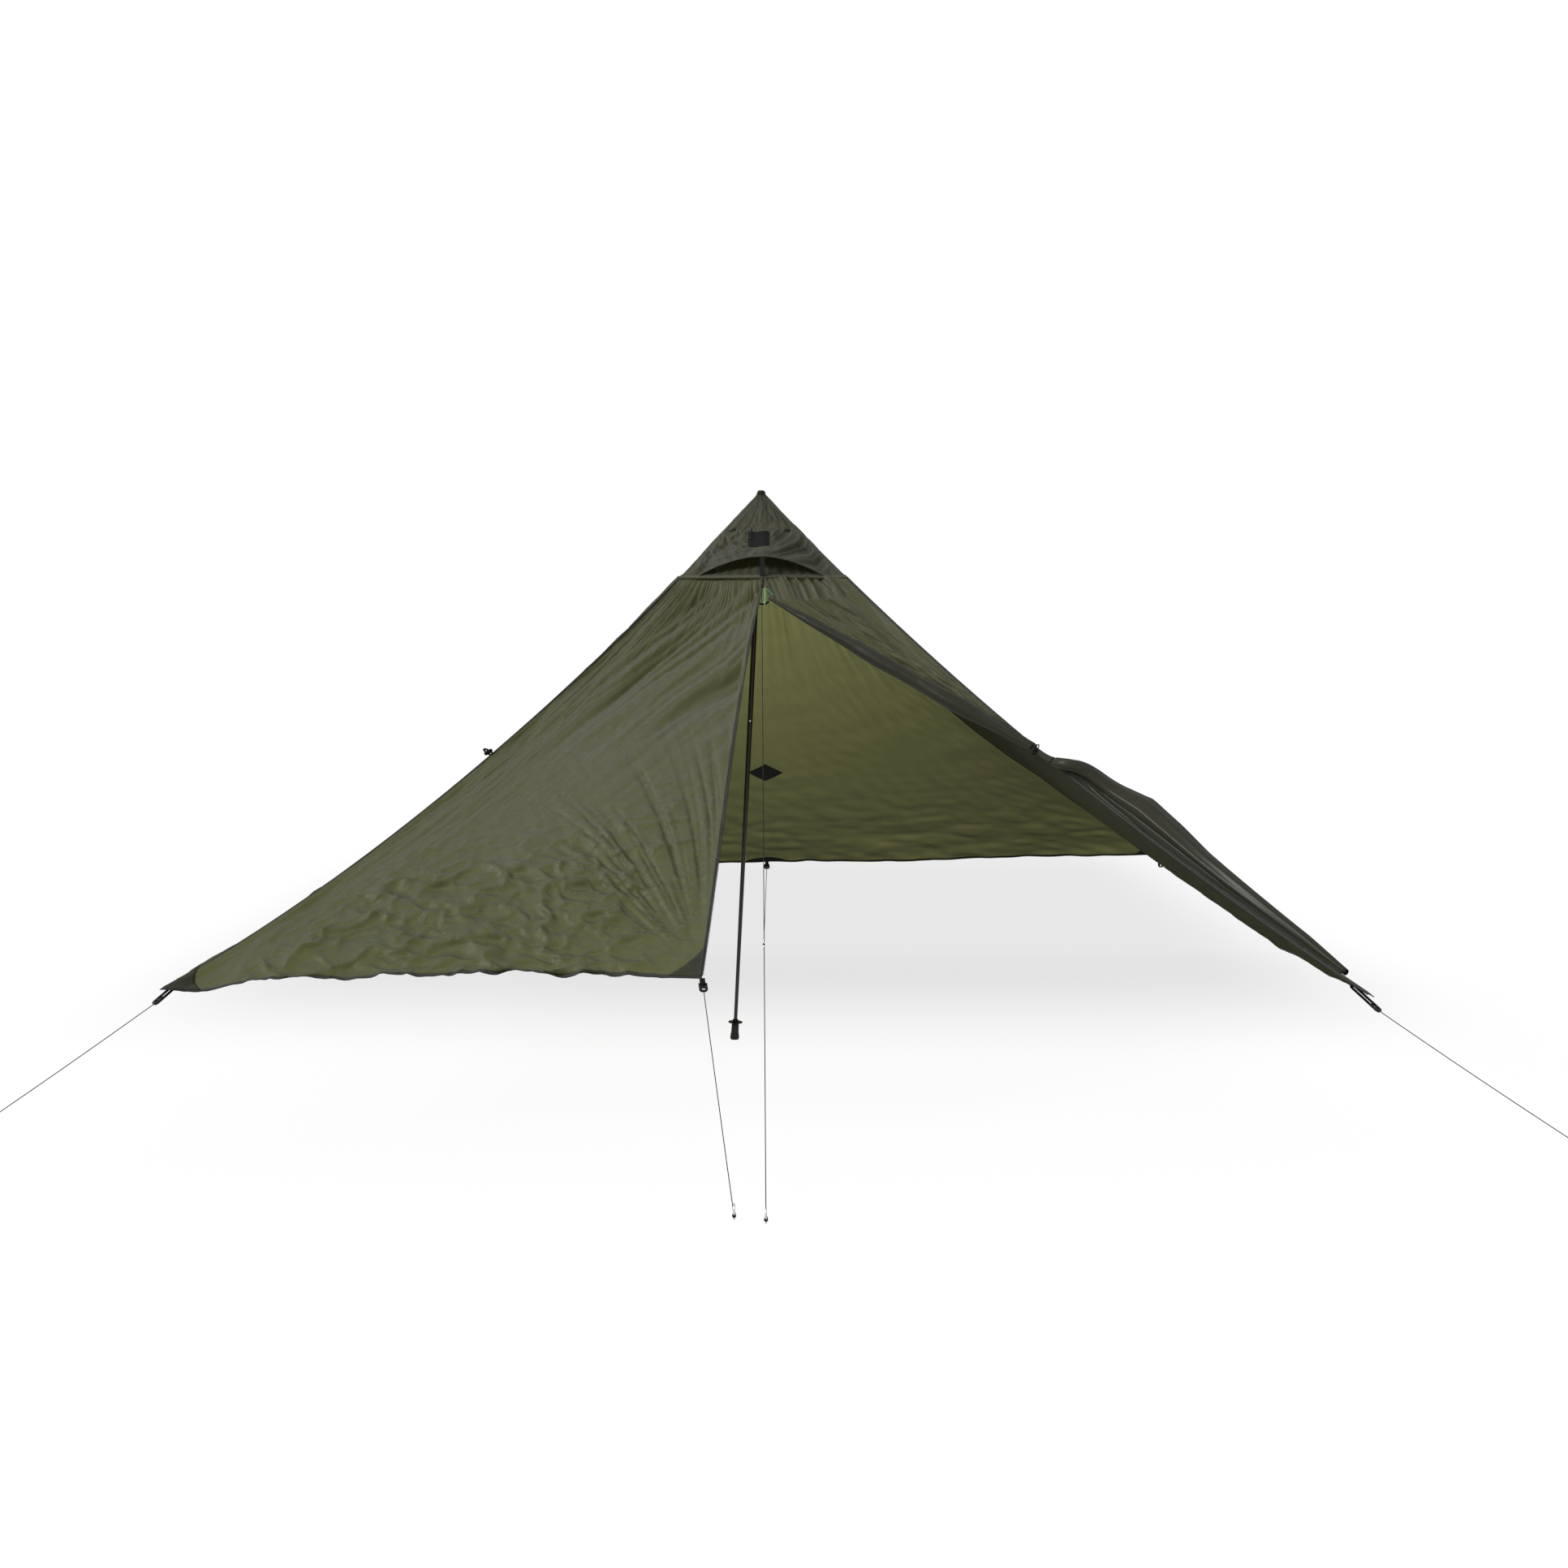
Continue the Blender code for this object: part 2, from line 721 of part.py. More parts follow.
def cap_ring(height):
    """Points round the peak at a height, from the front left ridge over the back and home."""
    ring = []
    for wall in WALLS:
        cloth = CLOTHS[wall]
        ring += [at_height(cloth.column(i), height) for i in range(cloth.columns)]
    return ring + [front_base(1.0 - i / CAP_FRONT_COLUMNS, height) for i in range(CAP_FRONT_COLUMNS)]


def make_peak_cap():
    count = 3 * WALL_COLUMNS + CAP_FRONT_COLUMNS
    heights = [SEAM_HEIGHT, (SEAM_HEIGHT + VENT_TOP_HEIGHT) / 2.0, VENT_TOP_HEIGHT]
    heights += [VENT_TOP_HEIGHT + (CAP_DOME_HEIGHT - VENT_TOP_HEIGHT) * k / 2.0 for k in (1, 2)]
    rings = [cap_ring(h) for h in heights]
    dome = rings[-1]
    centre = Vector((PEAK_SHIFT, 0.0, CAP_DOME_HEIGHT))
    for k in range(1, CAP_DOME_RINGS + 1):
        angle = math.radians(90.0 * k / CAP_DOME_RINGS)
        lift = Vector((0.0, 0.0, CAP_TOP_RISE * math.sin(angle)))
        rings.append([centre + (p - centre) * math.cos(angle) + lift for p in dome])
    mesh = grid_mesh("peak_cap", count, len(rings) - 1, lambda i, j: rings[j][i % count])
    bm = bmesh.new()
    bm.from_mesh(mesh)
    bmesh.ops.remove_doubles(bm, verts=bm.verts, dist=0.00001)
    vent = [f for f in bm.faces if in_vent(f.calc_center_median())]
    bmesh.ops.delete(bm, geom=vent, context="FACES")
    bm.to_mesh(mesh)
    bm.free()
    mesh.shade_smooth()
    part = add_object("peak_cap", mesh, OLIVE)
    return add_solidify(part)


def in_vent(point):
    """True for the part of the cap's front that the hood takes the place of."""
    return point.z < VENT_TOP_HEIGHT and point.y < -abs(point.x - PEAK_SHIFT) * 1.01


def brim_arch(x):
    """Height of the hood's brim over the seam, as a share of its rise."""
    middle = (BRIM_LEFT_X + BRIM_RIGHT_X) / 2.0
    half = (BRIM_RIGHT_X - BRIM_LEFT_X) / 2.0
    u = (x - middle) / half
    return max(0.0, 1.0 - u * u) ** BRIM_ARCH_POWER


def hood_point(c, v):
    """Point on the hood: c from left to right ridge, v from its top down to its brim."""
    side_gap = 2.0 * GAP / (2.0 * abs(BRIM_LEFT_X))
    c = side_gap + (1.0 - 2.0 * side_gap) * c
    seam = front_base(c, SEAM_HEIGHT)
    arch = brim_arch(seam.x)
    bottom = SEAM_HEIGHT + 2.0 * GAP + BRIM_RISE * arch
    top = VENT_TOP_HEIGHT - 2.0 * GAP
    point = front_base(c, top + (bottom - top) * v)
    proud = BRIM_PROUD * arch * v ** BRIM_SWELL_POWER
    return point + Vector((0.0, -proud, BRIM_TILT * proud))


def make_vent_hood():
    columns = 14
    rows = 5
    return sheet("vent_hood", columns, rows, lambda i, j: hood_point(i / columns, j / rows), OLIVE)


def lining_point(c, v):
    """Point on the pleated lining that closes the vent behind the hood."""
    height = SEAM_HEIGHT + 2.0 * GAP + (LINING_TOP - SEAM_HEIGHT) * (1.0 - v)
    point = front_base(LINING_START + LINING_SPAN * c, height)
    fold = PLEAT_DEPTH * (0.5 - 0.5 * math.cos(2.0 * math.pi * PLEAT_COUNT * c)) * (1.0 - v)
    return point + Vector((0.0, LINING_RECESS + fold, 0.0))


def make_vent_lining():
    columns = 4 * PLEAT_COUNT
    return sheet("vent_lining", columns, 2, lambda i, j: lining_point(i / columns, j / 2.0),
                 MESH_LINING)


def make_vent_strut():
    """Stiff strip that props the brim off the seam; it folds down about its foot."""
    seam = zip_point(s_at_height(zip_point, SEAM_HEIGHT))
    foot = seam + Vector(STRUT_FOOT_OFFSET)
    brim = hood_point(0.5, 1.0)
    top = Vector((foot.x, brim.y + STRUT_TOP_BACK, brim.z - CLOTH - GAP))
    run = top - foot
    part = rounded_box("vent_strut", (STRUT_WIDTH, STRUT_THICK, run.length), 0.0, GREY_TRIM)
    part.data.transform(Matrix.Translation((0.0, 0.0, run.length / 2.0)))
    turn_about(part, foot, run)
    return part


# Zip slider, its pull and the strap at the top of the doorway

def zip_frame(s):
    """Point on the zip tape, with its directions along the tape and out of the tarp."""
    at = on_runs(zip_point, s)
    along = (at - on_runs(zip_point, s - 0.002)).normalized()
    out = along.cross(Vector((1.0, 0.0, 0.0))).normalized()
    return at, along, out


def make_zip_slider():
    """Slider at the foot of the closed length of zip, with its cord pull hung from it."""
    at, along, out = zip_frame(ZIP_OPEN_S)
    origin = at + out * (TAPE_R + SLIDER_THICK / 2.0 + GAP)
    slider = rounded_box("zip_slider", (SLIDER_LENGTH, SLIDER_WIDTH, SLIDER_THICK), SLIDER_EDGE,
                         GREY_TRIM)
    place_with(slider, origin, along, out)
    pull = tube("zip_pull", [(0.0, 0.0, 0.0), (0.001, -0.001, -PULL_LENGTH * 0.35),
                             (0.002, -0.0006, -PULL_LENGTH * 0.7), (0.004, 0.0, -PULL_LENGTH)],
                PULL_R, REFLECTIVE)
    hung = origin + along * (SLIDER_LENGTH / 2.0 + PULL_HANG)
    pull.location = hung + Vector((PULL_OFFSET, 0.0, 0.0))


def make_peak_strap():
    """Strap across the doorway's top, from the zip edge to the rolled door."""
    at = on_runs(zip_point, STRAP_S)
    left = at + Vector((TAPE_R + GAP, STRAP_BACK, 0.0))
    under = Vector((-0.0010, -ROLL_R_START * 0.2, -ROLL_R_START - STRAP_UNDER_ROLL))
    right = Vector(ROLL_START) + under
    runs = 8
    points = []
    for k in range(runs + 1):
        u = k / runs
        sag = Vector((0.0, STRAP_BACK, -STRAP_SAG)) * (4.0 * u * (1.0 - u))
        points.append(left.lerp(right, u) + sag)
    return tube("peak_strap", points, STRAP_R, WEBBING)


# Tied-back right door

DOOR_TILT = Vector((0.0, -0.66, 0.75)).normalized()
TIE_DIRECTION = Vector((-0.25, -0.95, -0.10)).normalized()
TIE_OFFSET = PINCH_R + 2.0 * TIE_CORD_R + TAPE_R + 3.0 * TIE_GAP
ROLL_STATIONS = 12
SCROLL_POINTS = 22
FLAP_STATIONS = 15


def tie_centre():
    return ridge_point("front_right", TIE_S) + TIE_DIRECTION * TIE_OFFSET


def roll_axis(q):
    return Vector(ROLL_START).lerp(tie_centre(), q)


def roll_radius(q):
    """Radius of the roll: thin at the zip, full in its middle, pinched at the tie."""
    swell = math.sin(math.pi * min(1.0, q / 0.62) / 2.0)
    body = ROLL_R_START + (ROLL_R_MIDDLE - ROLL_R_START) * swell
    pinch = max(0.0, (q - 0.72) / 0.28)
    return body + (PINCH_R - body) * pinch * pinch * (3.0 - 2.0 * pinch)


def roll_frame():
    """Directions along the roll, up across the open door and out in front."""
    along = (tie_centre() - Vector(ROLL_START)).normalized()
    up = DOOR_TILT.cross(along).normalized()
    if up.x < 0.0:
        up.negate()
    front = along.cross(up).normalized()
    if front.y > 0.0:
        front.negate()
    return along, up, front


def scroll_share(k, turns):
    """Radius share and angle of point k on a rolled sheet, from its outside inwards."""
    u = k / SCROLL_POINTS
    return 1.0 - (1.0 - SCROLL_CORE) * u, 2.0 * math.pi * turns * u


def make_door_roll():
    _, up, front = roll_frame()

    def place(i, j):
        q = ROLL_END * j / ROLL_STATIONS
        share, angle = scroll_share(i, ROLL_TURNS)
        angle += ROLL_SEAM_ANGLE
        away = front * math.cos(angle) - up * math.sin(angle)
        return roll_axis(q) + away * roll_radius(q) * share

    return sheet("door_right_roll", SCROLL_POINTS, ROLL_STATIONS, place, OLIVE_ROLLED)


def roll_back_edge(q):
    """Line on the back of the roll where the hanging cloth runs into it."""
    _, up, front = roll_frame()
    reach = roll_radius(q) + CLOTH / 2.0
    return roll_axis(q) - front * reach + up * (0.0022 + 0.18 * reach)


def make_door_right_panel():
    """Cloth of the open door that still hangs between its ridge and the roll."""
    columns = 12
    rows = 12
    up = roll_frame()[1]
    top_s = s_at_height(ridge_line("front_right"), SEAM_HEIGHT)
    seam_s = s_at_height(zip_point, SEAM_HEIGHT)
    roll_start, roll_run = PANEL_ROLL_RUN

    def lower_edge(u):
        if u < PANEL_ZIP_SHARE:
            s = seam_s + (ZIP_FREE_S - seam_s) * u / PANEL_ZIP_SHARE
            return on_runs(zip_point, s) + Vector((EDGE_INSET, 0.0, 0.0))
        return roll_back_edge(roll_start + roll_run * (u - PANEL_ZIP_SHARE) / (1.0 - PANEL_ZIP_SHARE))

    def place(i, j):
        u = j / rows
        w = i / columns
        a = on_runs(ridge_line("front_right"), top_s + (PANEL_END_S - top_s) * u)
        a -= up * (EDGE_INSET + GAP)
        point = a.lerp(lower_edge(u), w)
        if j == 0:
            point.z -= 2.0 * GAP
        middle = math.sin(math.pi * min(1.0, 0.15 + u))
        hollow = PANEL_HOLLOW * math.sin(math.pi * w) * middle
        pleat = PANEL_PLEAT * (1.0 - math.cos(6.0 * math.pi * w)) * math.sin(math.pi * u) ** 0.7
        return point - DOOR_TILT * (hollow + pleat)

    return sheet("door_right_panel", columns, rows, place, OLIVE)


def flap_blend(q):
    """Share by which the bundle has gone over its ridge, past the tie."""
    u = min(1.0, q / 0.26)
    return u * u * (3.0 - 2.0 * u)


def flap_frame(q):
    """Ridge point, and the bundle's directions along, off and across the right wall."""
    s = TIE_S + (FLAP_END_S - TIE_S) * q
    ridge = ridge_point("front_right", s)
    step = 0.01
    along = ridge_point("front_right", s + step) - ridge_point("front_right", s - step)
    along.normalize()
    wall_off = surface_normal(CLOTHS["right"].surface, s, 0.97, OUTWARD["right"])
    off = TIE_DIRECTION.lerp(wall_off, flap_blend(q))
    off = (off - along * off.dot(along)).normalized()
    across = off.cross(along).normalized()
    if across.y < 0.0:
        across.negate()
    return ridge, off, across


def flap_size(q):
    """Half height and half width of the bundle."""
    for (a, high_a, wide_a), (b, high_b, wide_b) in zip(FLAP_SIZES, FLAP_SIZES[1:]):
        if q <= b:
            break
    u = (q - a) / (b - a)
    return high_a + (high_b - high_a) * u, wide_a + (wide_b - wide_a) * u


def make_door_flap():
    """The open door's cloth past its tie, laid back over the ridge in folds."""
    clear = TIE_OFFSET - PINCH_R

    def place(i, j):
        q = FLAP_START + (1.0 - FLAP_START) * j / FLAP_STATIONS
        ridge, off, across = flap_frame(q)
        high, wide = flap_size(q)
        blend = flap_blend(q)
        rise = clear + (TAPE_R + FLAP_REST_GAP - clear) * blend
        rise += FLAP_TWIST_RISE * blend * (1.0 - blend)
        centre = ridge + off * (high + rise) + across * (FLAP_LEAN * wide * blend ** 3)
        share, angle = scroll_share(i, FLAP_TURNS)
        angle += FLAP_SEAM_ANGLE
        away = across * (math.cos(angle) * wide) + off * (math.sin(angle) * high)
        return centre + away * share

    return sheet("door_right_flap", SCROLL_POINTS, FLAP_STATIONS, place, OLIVE_ROLLED)


def make_tie_back():
    """Elastic loop round the pinched door, sewn to the ridge, with its toggle."""
    centre = tie_centre()
    along = (centre - Vector(ROLL_START)).normalized()
    major = PINCH_R + TIE_GAP + TIE_CORD_R
    bpy.ops.mesh.primitive_torus_add(major_segments=20, minor_segments=6,
                                     major_radius=major, minor_radius=TIE_CORD_R)
    ring = bpy.context.active_object
    mesh = ring.data
    bpy.data.objects.remove(ring, do_unlink=True)
    mesh.name = "tieback_loop"
    loop = add_object("tieback_loop", mesh, WEBBING)
    turn_about(loop, centre, along)
    side = Vector((0.0, -1.0, 0.0))
    side = (side - along * side.dot(along)).normalized()
    half = TOGGLE_LENGTH / 2.0
    waist = TOGGLE_R * 0.75
    toggle = turned("tieback_toggle", [(0.0, half), (TOGGLE_R * 0.7, half), (TOGGLE_R, half * 0.8),
                                       (waist, 0.0), (TOGGLE_R, -half * 0.8),
                                       (TOGGLE_R * 0.7, -half), (0.0, -half)], PLASTIC, 12)
    origin = centre + side * (major + TIE_CORD_R + TIE_GAP + waist)
    turn_about(toggle, origin, along.cross(side))


# Pull-out tabs, webbing loops and line adjusters

def make_tab(wall, s):
    """Webbing tab that stands out of a wall's middle, with an eye for a line."""
    cloth = CLOTHS[wall]
    out = surface_normal(cloth.surface, s, 0.0, OUTWARD[wall])
    down = (cloth.at(s + 0.01, 0.0) - cloth.at(s, 0.0)).normalized()
    base = cloth.at(s, 0.0) + out * (CLOTH / 2.0 + GAP)
    half = TAB_WIDTH / 2.0
    straight = TAB_LENGTH * TAB_STRAIGHT
    outline = [(0.0, -half), (straight, -half)]
    outline += arc((TAB_LENGTH - half, 0.0), half, -60, 60, 7)
    outline += [(straight, half), (0.0, half)]
    eye = arc((TAB_LENGTH - half, 0.0), TAB_EYE_R, 0, 345, 24)
    part = flat_outline("pullout_tab_" + wall, [outline, eye], TAB_THICK / 2.0, WEBBING)
    place_with(part, base, out, down)
    return part


def adjuster_outline():
    """Outline of a line adjuster, its webbing slot and its line slot, from the bar's middle."""
    half = ADJUSTER_WIDTH / 2.0
    x0 = ADJUSTER_BAR / 2.0
    x1 = ADJUSTER_LENGTH - x0
    chamfer = x1 - ADJUSTER_CHAMFER
    nose = half * ADJUSTER_NOSE
    outer = [(-x0, -half), (chamfer, -half), (x1, -nose), (x1, nose), (chamfer, half), (-x0, half)]
    slot_half = SLOT_WIDTH / 2.0
    slot_end = x0 + SLOT_LENGTH
    slot = [(x0, -slot_half), (slot_end, -slot_half), (slot_end, slot_half), (x0, slot_half)]
    x2 = slot_end + LINE_BAR
    x3 = x1 - LINE_SLOT_INSET
    wide, narrow = LINE_SLOT_HALF
    line_slot = [(x2, -wide), (x3, -narrow), (x3, narrow), (x2, wide)]
    return [outer, slot, line_slot]


def make_adjuster(name, anchor, direction, up, reach=WEBBING_REACH):
    """Line adjuster on its webbing loop; its own origin is the middle of its bar, in the loop."""
    direction = Vector(direction).normalized()
    inner = math.hypot(ADJUSTER_BAR, ADJUSTER_THICK) / 2.0 + LOOP_CLEARANCE
    outer = inner + WEBBING_THICK
    loops = [stadium(outer, reach, outer), stadium(outer, reach, inner)]
    loop = flat_outline("webbing_loop_" + name, loops, WEBBING_WIDTH / 2.0, WEBBING)
    place_with(loop, anchor, direction, Vector(up).cross(direction).normalized())
    body = flat_outline("adjuster_" + name, adjuster_outline(), ADJUSTER_THICK / 2.0, PLASTIC)
    origin = Vector(anchor) + direction * reach
    place_with(body, origin, direction, up)
    return origin + direction * (ADJUSTER_LENGTH - ADJUSTER_BAR / 2.0 + GAP)


def make_peg(name, ground, inward):
    """Wire peg, pushed in with its hook leaning away from the tarp."""
    down = (inward * PEG_LEAN + Vector((0.0, 0.0, -1.0))).normalized()
    hook_away = (down * inward.dot(down) - inward).normalized()
    top = down * -PEG_OUT
    points = [down * (PEG_LENGTH - PEG_OUT), Vector((0.0, 0.0, 0.0)), top]
    hook_runs = 7
    for k in range(1, hook_runs + 1):
        angle = math.radians(PEG_HOOK_TURN * k / hook_runs)
        across = hook_away * (PEG_HOOK_R * (1.0 - math.cos(angle)))
        points.append(top - down * (PEG_HOOK_R * math.sin(angle)) - across)
    part = tube("peg_" + name, points, PEG_R, PEG_METAL)
    part.location = ground


def make_guy(name, start, ground, inward):
    """Guy line down to the side of its peg, with the peg."""
    ground = Vector((*ground, 0.0))
    inward = Vector((*inward, 0.0)).normalized()
    shaft = ground - inward * (PEG_LEAN * TIE_HEIGHT) + Vector((0.0, 0.0, TIE_HEIGHT))
    direction = (shaft - start).normalized()
    end = shaft - direction * (PEG_R * 1.12 + GAP)
    runs = 6
    points = [start.lerp(end, k / runs) for k in range(runs + 1)]
    tube("guy_" + name, points, CORD_R, GUY_CORD)
    make_peg(name, ground, inward)


def make_hem_line(name, foot, ground, inward):
    """Webbing loop, adjuster, line and peg that draw a point of the hem to the ground."""
    direction = (Vector((*ground, TIE_HEIGHT)) - foot).normalized()
    anchor = foot + direction * (TAPE_R * 0.95 + GAP)
    make_guy(name, make_adjuster(name, anchor, direction, (0, 0, 1)), ground, inward)


def make_corner_line(corner, sx, loop_drop):
    """Line of a front corner; its long webbing loop is sewn inside, under the corner's ridge."""
    tip = CORNERS[corner][0]
    anchor = ridge_point(corner, 1.0 - CORNER_LOOP_INSET / BASE_HALF)
    anchor.z -= loop_drop
    end = tip + Vector((sx * CORNER_LINE_OUT, -CORNER_LINE_OUT, -CORNER_LINE_DROP))
    reach = (end - anchor).length - ADJUSTER_LENGTH + ADJUSTER_BAR / 2.0 - GAP
    start = make_adjuster(corner, anchor, end - anchor, (0, 0, 1), reach)
    make_guy(corner, start, (sx * CORNER_PEG, -CORNER_PEG), (-sx, 1.0))


def make_lines():
    """Corner, door, back and peak lines, each with its hardware and peg."""
    make_corner_line("front_left", -1.0, LEFT_LOOP_DROP)
    make_corner_line("front_right", 1.0, RIGHT_LOOP_DROP)
    for corner, sx in (("back_left", -1.0), ("back_right", 1.0)):
        anchor = CORNERS[corner][0] - Vector((0.0, 0.0, TAPE_R + GAP))
        make_adjuster(corner, anchor, (0.0, 0.0, -1.0), (sx, 1.0, 0.0))
    make_hem_line("door", door_point(1.0, 1.0), DOOR_PEG, (0.0, 1.0))
    make_hem_line("back", wall_point("back", 1.0, 0.0), BACK_PEG, (0.0, -1.0))
    at, _, out = zip_frame(PEAK_LINE_S)
    make_guy("peak", at + out * (TAPE_R * 0.95 + GAP + CORD_R), PEAK_PEG, (0.0, 1.0))


# Pole

POLE_FOOT = Vector((-TARP_CENTRE_X, 0.0, 0.0))
POLE_TOP = Vector((PEAK_SHIFT, 0.0, PEAK_HEIGHT - POLE_TOP_GAP))
POLE_AXIS = (POLE_TOP - POLE_FOOT).normalized()
POLE_LENGTH = (POLE_TOP - POLE_FOOT).length


def along_pole(distance):
    return POLE_FOOT + POLE_AXIS * distance


def place_on_pole(part, distance):
    turn_about(part, along_pole(distance), POLE_AXIS)
    return part


def make_grip():
    """Shaped foam grip with a bore for the upper tube."""
    top = GRIP_LENGTH
    bore = UPPER_TUBE_R + POLE_CLEARANCE
    bore_end = GRIP_LENGTH * GRIP_BORE_SHARE
    profile = [(0.0, top), (0.006, top - 0.0008), (0.011, top - 0.0040), (GRIP_R, top - 0.016),
               (GRIP_R * 0.86, top * 0.62), (GRIP_R * 0.92, top * 0.3), (GRIP_R, 0.006),
               (GRIP_R * 0.8, 0.0), (bore, 0.0), (bore, bore_end), (0.0, bore_end)]
    place_on_pole(turned("pole_grip", profile, FOAM), POLE_LENGTH - GRIP_LENGTH)


def make_tubes():
    """Upper tube, and the lower tube whose neck slides up into it."""
    grip_foot = POLE_LENGTH - GRIP_LENGTH
    length = grip_foot + GRIP_LENGTH * GRIP_BORE_SHARE - POLE_CLEARANCE - UPPER_TUBE_FOOT
    profile = [(0.0, length), (UPPER_TUBE_R, length), (UPPER_TUBE_R, 0.0), (UPPER_TUBE_BORE, 0.0),
               (UPPER_TUBE_BORE, length - TUBE_PLUG), (0.0, length - TUBE_PLUG)]
    upper = place_on_pole(turned("pole_upper_tube", profile, TUBE_METAL), UPPER_TUBE_FOOT)
    foot_top = FOOT_LENGTH - FOOT_GRIP + POLE_CLEARANCE
    neck_r = UPPER_TUBE_BORE - POLE_CLEARANCE
    neck_foot = UPPER_TUBE_FOOT - POLE_CLEARANCE - foot_top
    neck_top = neck_foot + NECK_LENGTH
    profile = [(0.0, neck_top), (neck_r, neck_top), (neck_r, neck_foot), (LOWER_TUBE_R_TOP, neck_foot),
               (LOWER_TUBE_R_FOOT, 0.10), (LOWER_TUBE_R_FOOT, 0.0), (0.0, 0.0)]
    lower = place_on_pole(turned("pole_lower_tube", profile, TUBE_METAL), foot_top)
    return upper, lower


def make_basket():
    """Disc that keeps the pole's foot from sinking in."""
    bore = LOWER_TUBE_R_FOOT + POLE_CLEARANCE
    top = BASKET_THICK + BASKET_HUB_RISE
    profile = [(bore, top), (BASKET_HUB_R * 0.8, top), (BASKET_HUB_R, BASKET_THICK),
               (BASKET_R * 0.9, BASKET_THICK), (BASKET_R, BASKET_THICK * 0.5), (BASKET_R * 0.85, 0.0),
               (bore, 0.0), (bore, top)]
    place_on_pole(turned("pole_basket", profile, PLASTIC), FOOT_LENGTH + BASKET_GAP)


def make_button(upper, lower):
    """Spring button in the lower tube's neck, standing out of a hole in the upper tube."""
    side = POLE_AXIS.cross(Vector((1.0, 0.0, 0.0))).normalized()
    if side.y > 0.0:
        side.negate()
    outer_end = UPPER_TUBE_R + BUTTON_PROUD
    profile = [(0.0, outer_end), (BUTTON_R * 0.7, outer_end - 0.0003), (BUTTON_R, outer_end - 0.0012),
               (BUTTON_R, BUTTON_INNER_END), (0.0, BUTTON_INNER_END)]
    button = turned("pole_button", profile, BUTTON_STEEL, 16)
    turn_about(button, along_pole(BUTTON_HEIGHT), side)
    hole_r = BUTTON_R + POLE_CLEARANCE
    for tube_part, start in ((upper, UPPER_HOLE_START), (lower, BUTTON_INNER_END - BUTTON_TRAVEL_ROOM)):
        profile = [(0.0, BUTTON_HOLE_END), (hole_r, BUTTON_HOLE_END), (hole_r, start), (0.0, start)]
        cutter = turned("cut_" + tube_part.name, profile, GREY_TRIM, 16)
        turn_about(cutter, along_pole(BUTTON_HEIGHT), side)
        cut(tube_part, cutter)


def make_foot():
    """Rubber foot on the pole's end, cut flat where it stands."""
    grip_r = LOWER_TUBE_R_FOOT + POLE_CLEARANCE
    profile = [(grip_r, FOOT_LENGTH), (FOOT_R_TOP * 0.9, FOOT_LENGTH), (FOOT_R_TOP, FOOT_LENGTH - 0.003),
               (FOOT_R_TOP * 1.05, FOOT_LENGTH * 0.45), (FOOT_R_SOLE, FOOT_LENGTH * 0.22),
               (FOOT_R_SOLE, 0.004), (FOOT_R_SOLE * 0.8, -0.002), (0.0, -FOOT_DEPTH)]
    foot = turned("pole_foot", profile, RUBBER)
    bore_floor = FOOT_LENGTH - FOOT_GRIP
    mesh = foot.data
    bm = bmesh.new()
    bm.from_mesh(mesh)
    bm.verts.ensure_lookup_table()
    top = bm.verts[0]
    edge_low = bm.verts.new((grip_r, 0.0, bore_floor))
    centre = bm.verts.new((0.0, 0.0, bore_floor))
    bm.edges.new((edge_low, top))
    bm.edges.new((centre, edge_low))
    bm.to_mesh(mesh)
    bm.free()
    place_on_pole(foot, 0.0)
    ground = rounded_box("cut_pole_foot", (0.1, 0.1, 0.05), 0.0, GREY_TRIM)
    ground.location = POLE_FOOT + Vector((0.0, 0.0, -0.025))
    cut(foot, ground)


def main():
    for cloth in CLOTHS.values():
        cloth.make()
    make_ridge_tapes()
    make_hem_binding()
    make_zip_tape()
    make_corner_patches()
    make_door_patch()
    make_back_mid_patch()
    make_diamond_patch()
    make_peak_cap()
    make_vent_hood()
    make_vent_lining()
    make_vent_strut()
    make_zip_slider()
    make_peak_strap()
    make_door_roll()
    make_door_right_panel()
    make_door_flap()
    make_tie_back()
    make_tab("left", TAB_S)
    make_tab("right", TAB_S)
    make_tab("back", BACK_TAB_S)
    make_lines()
    make_grip()
    upper, lower = make_tubes()
    make_button(upper, lower)
    make_basket()
    make_foot()


main()
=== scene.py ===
"""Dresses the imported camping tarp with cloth, trim, lines and metal, and sets its stage.

Units are metres in the row frame: +Z is up and the doors face -Y.
"""
import math

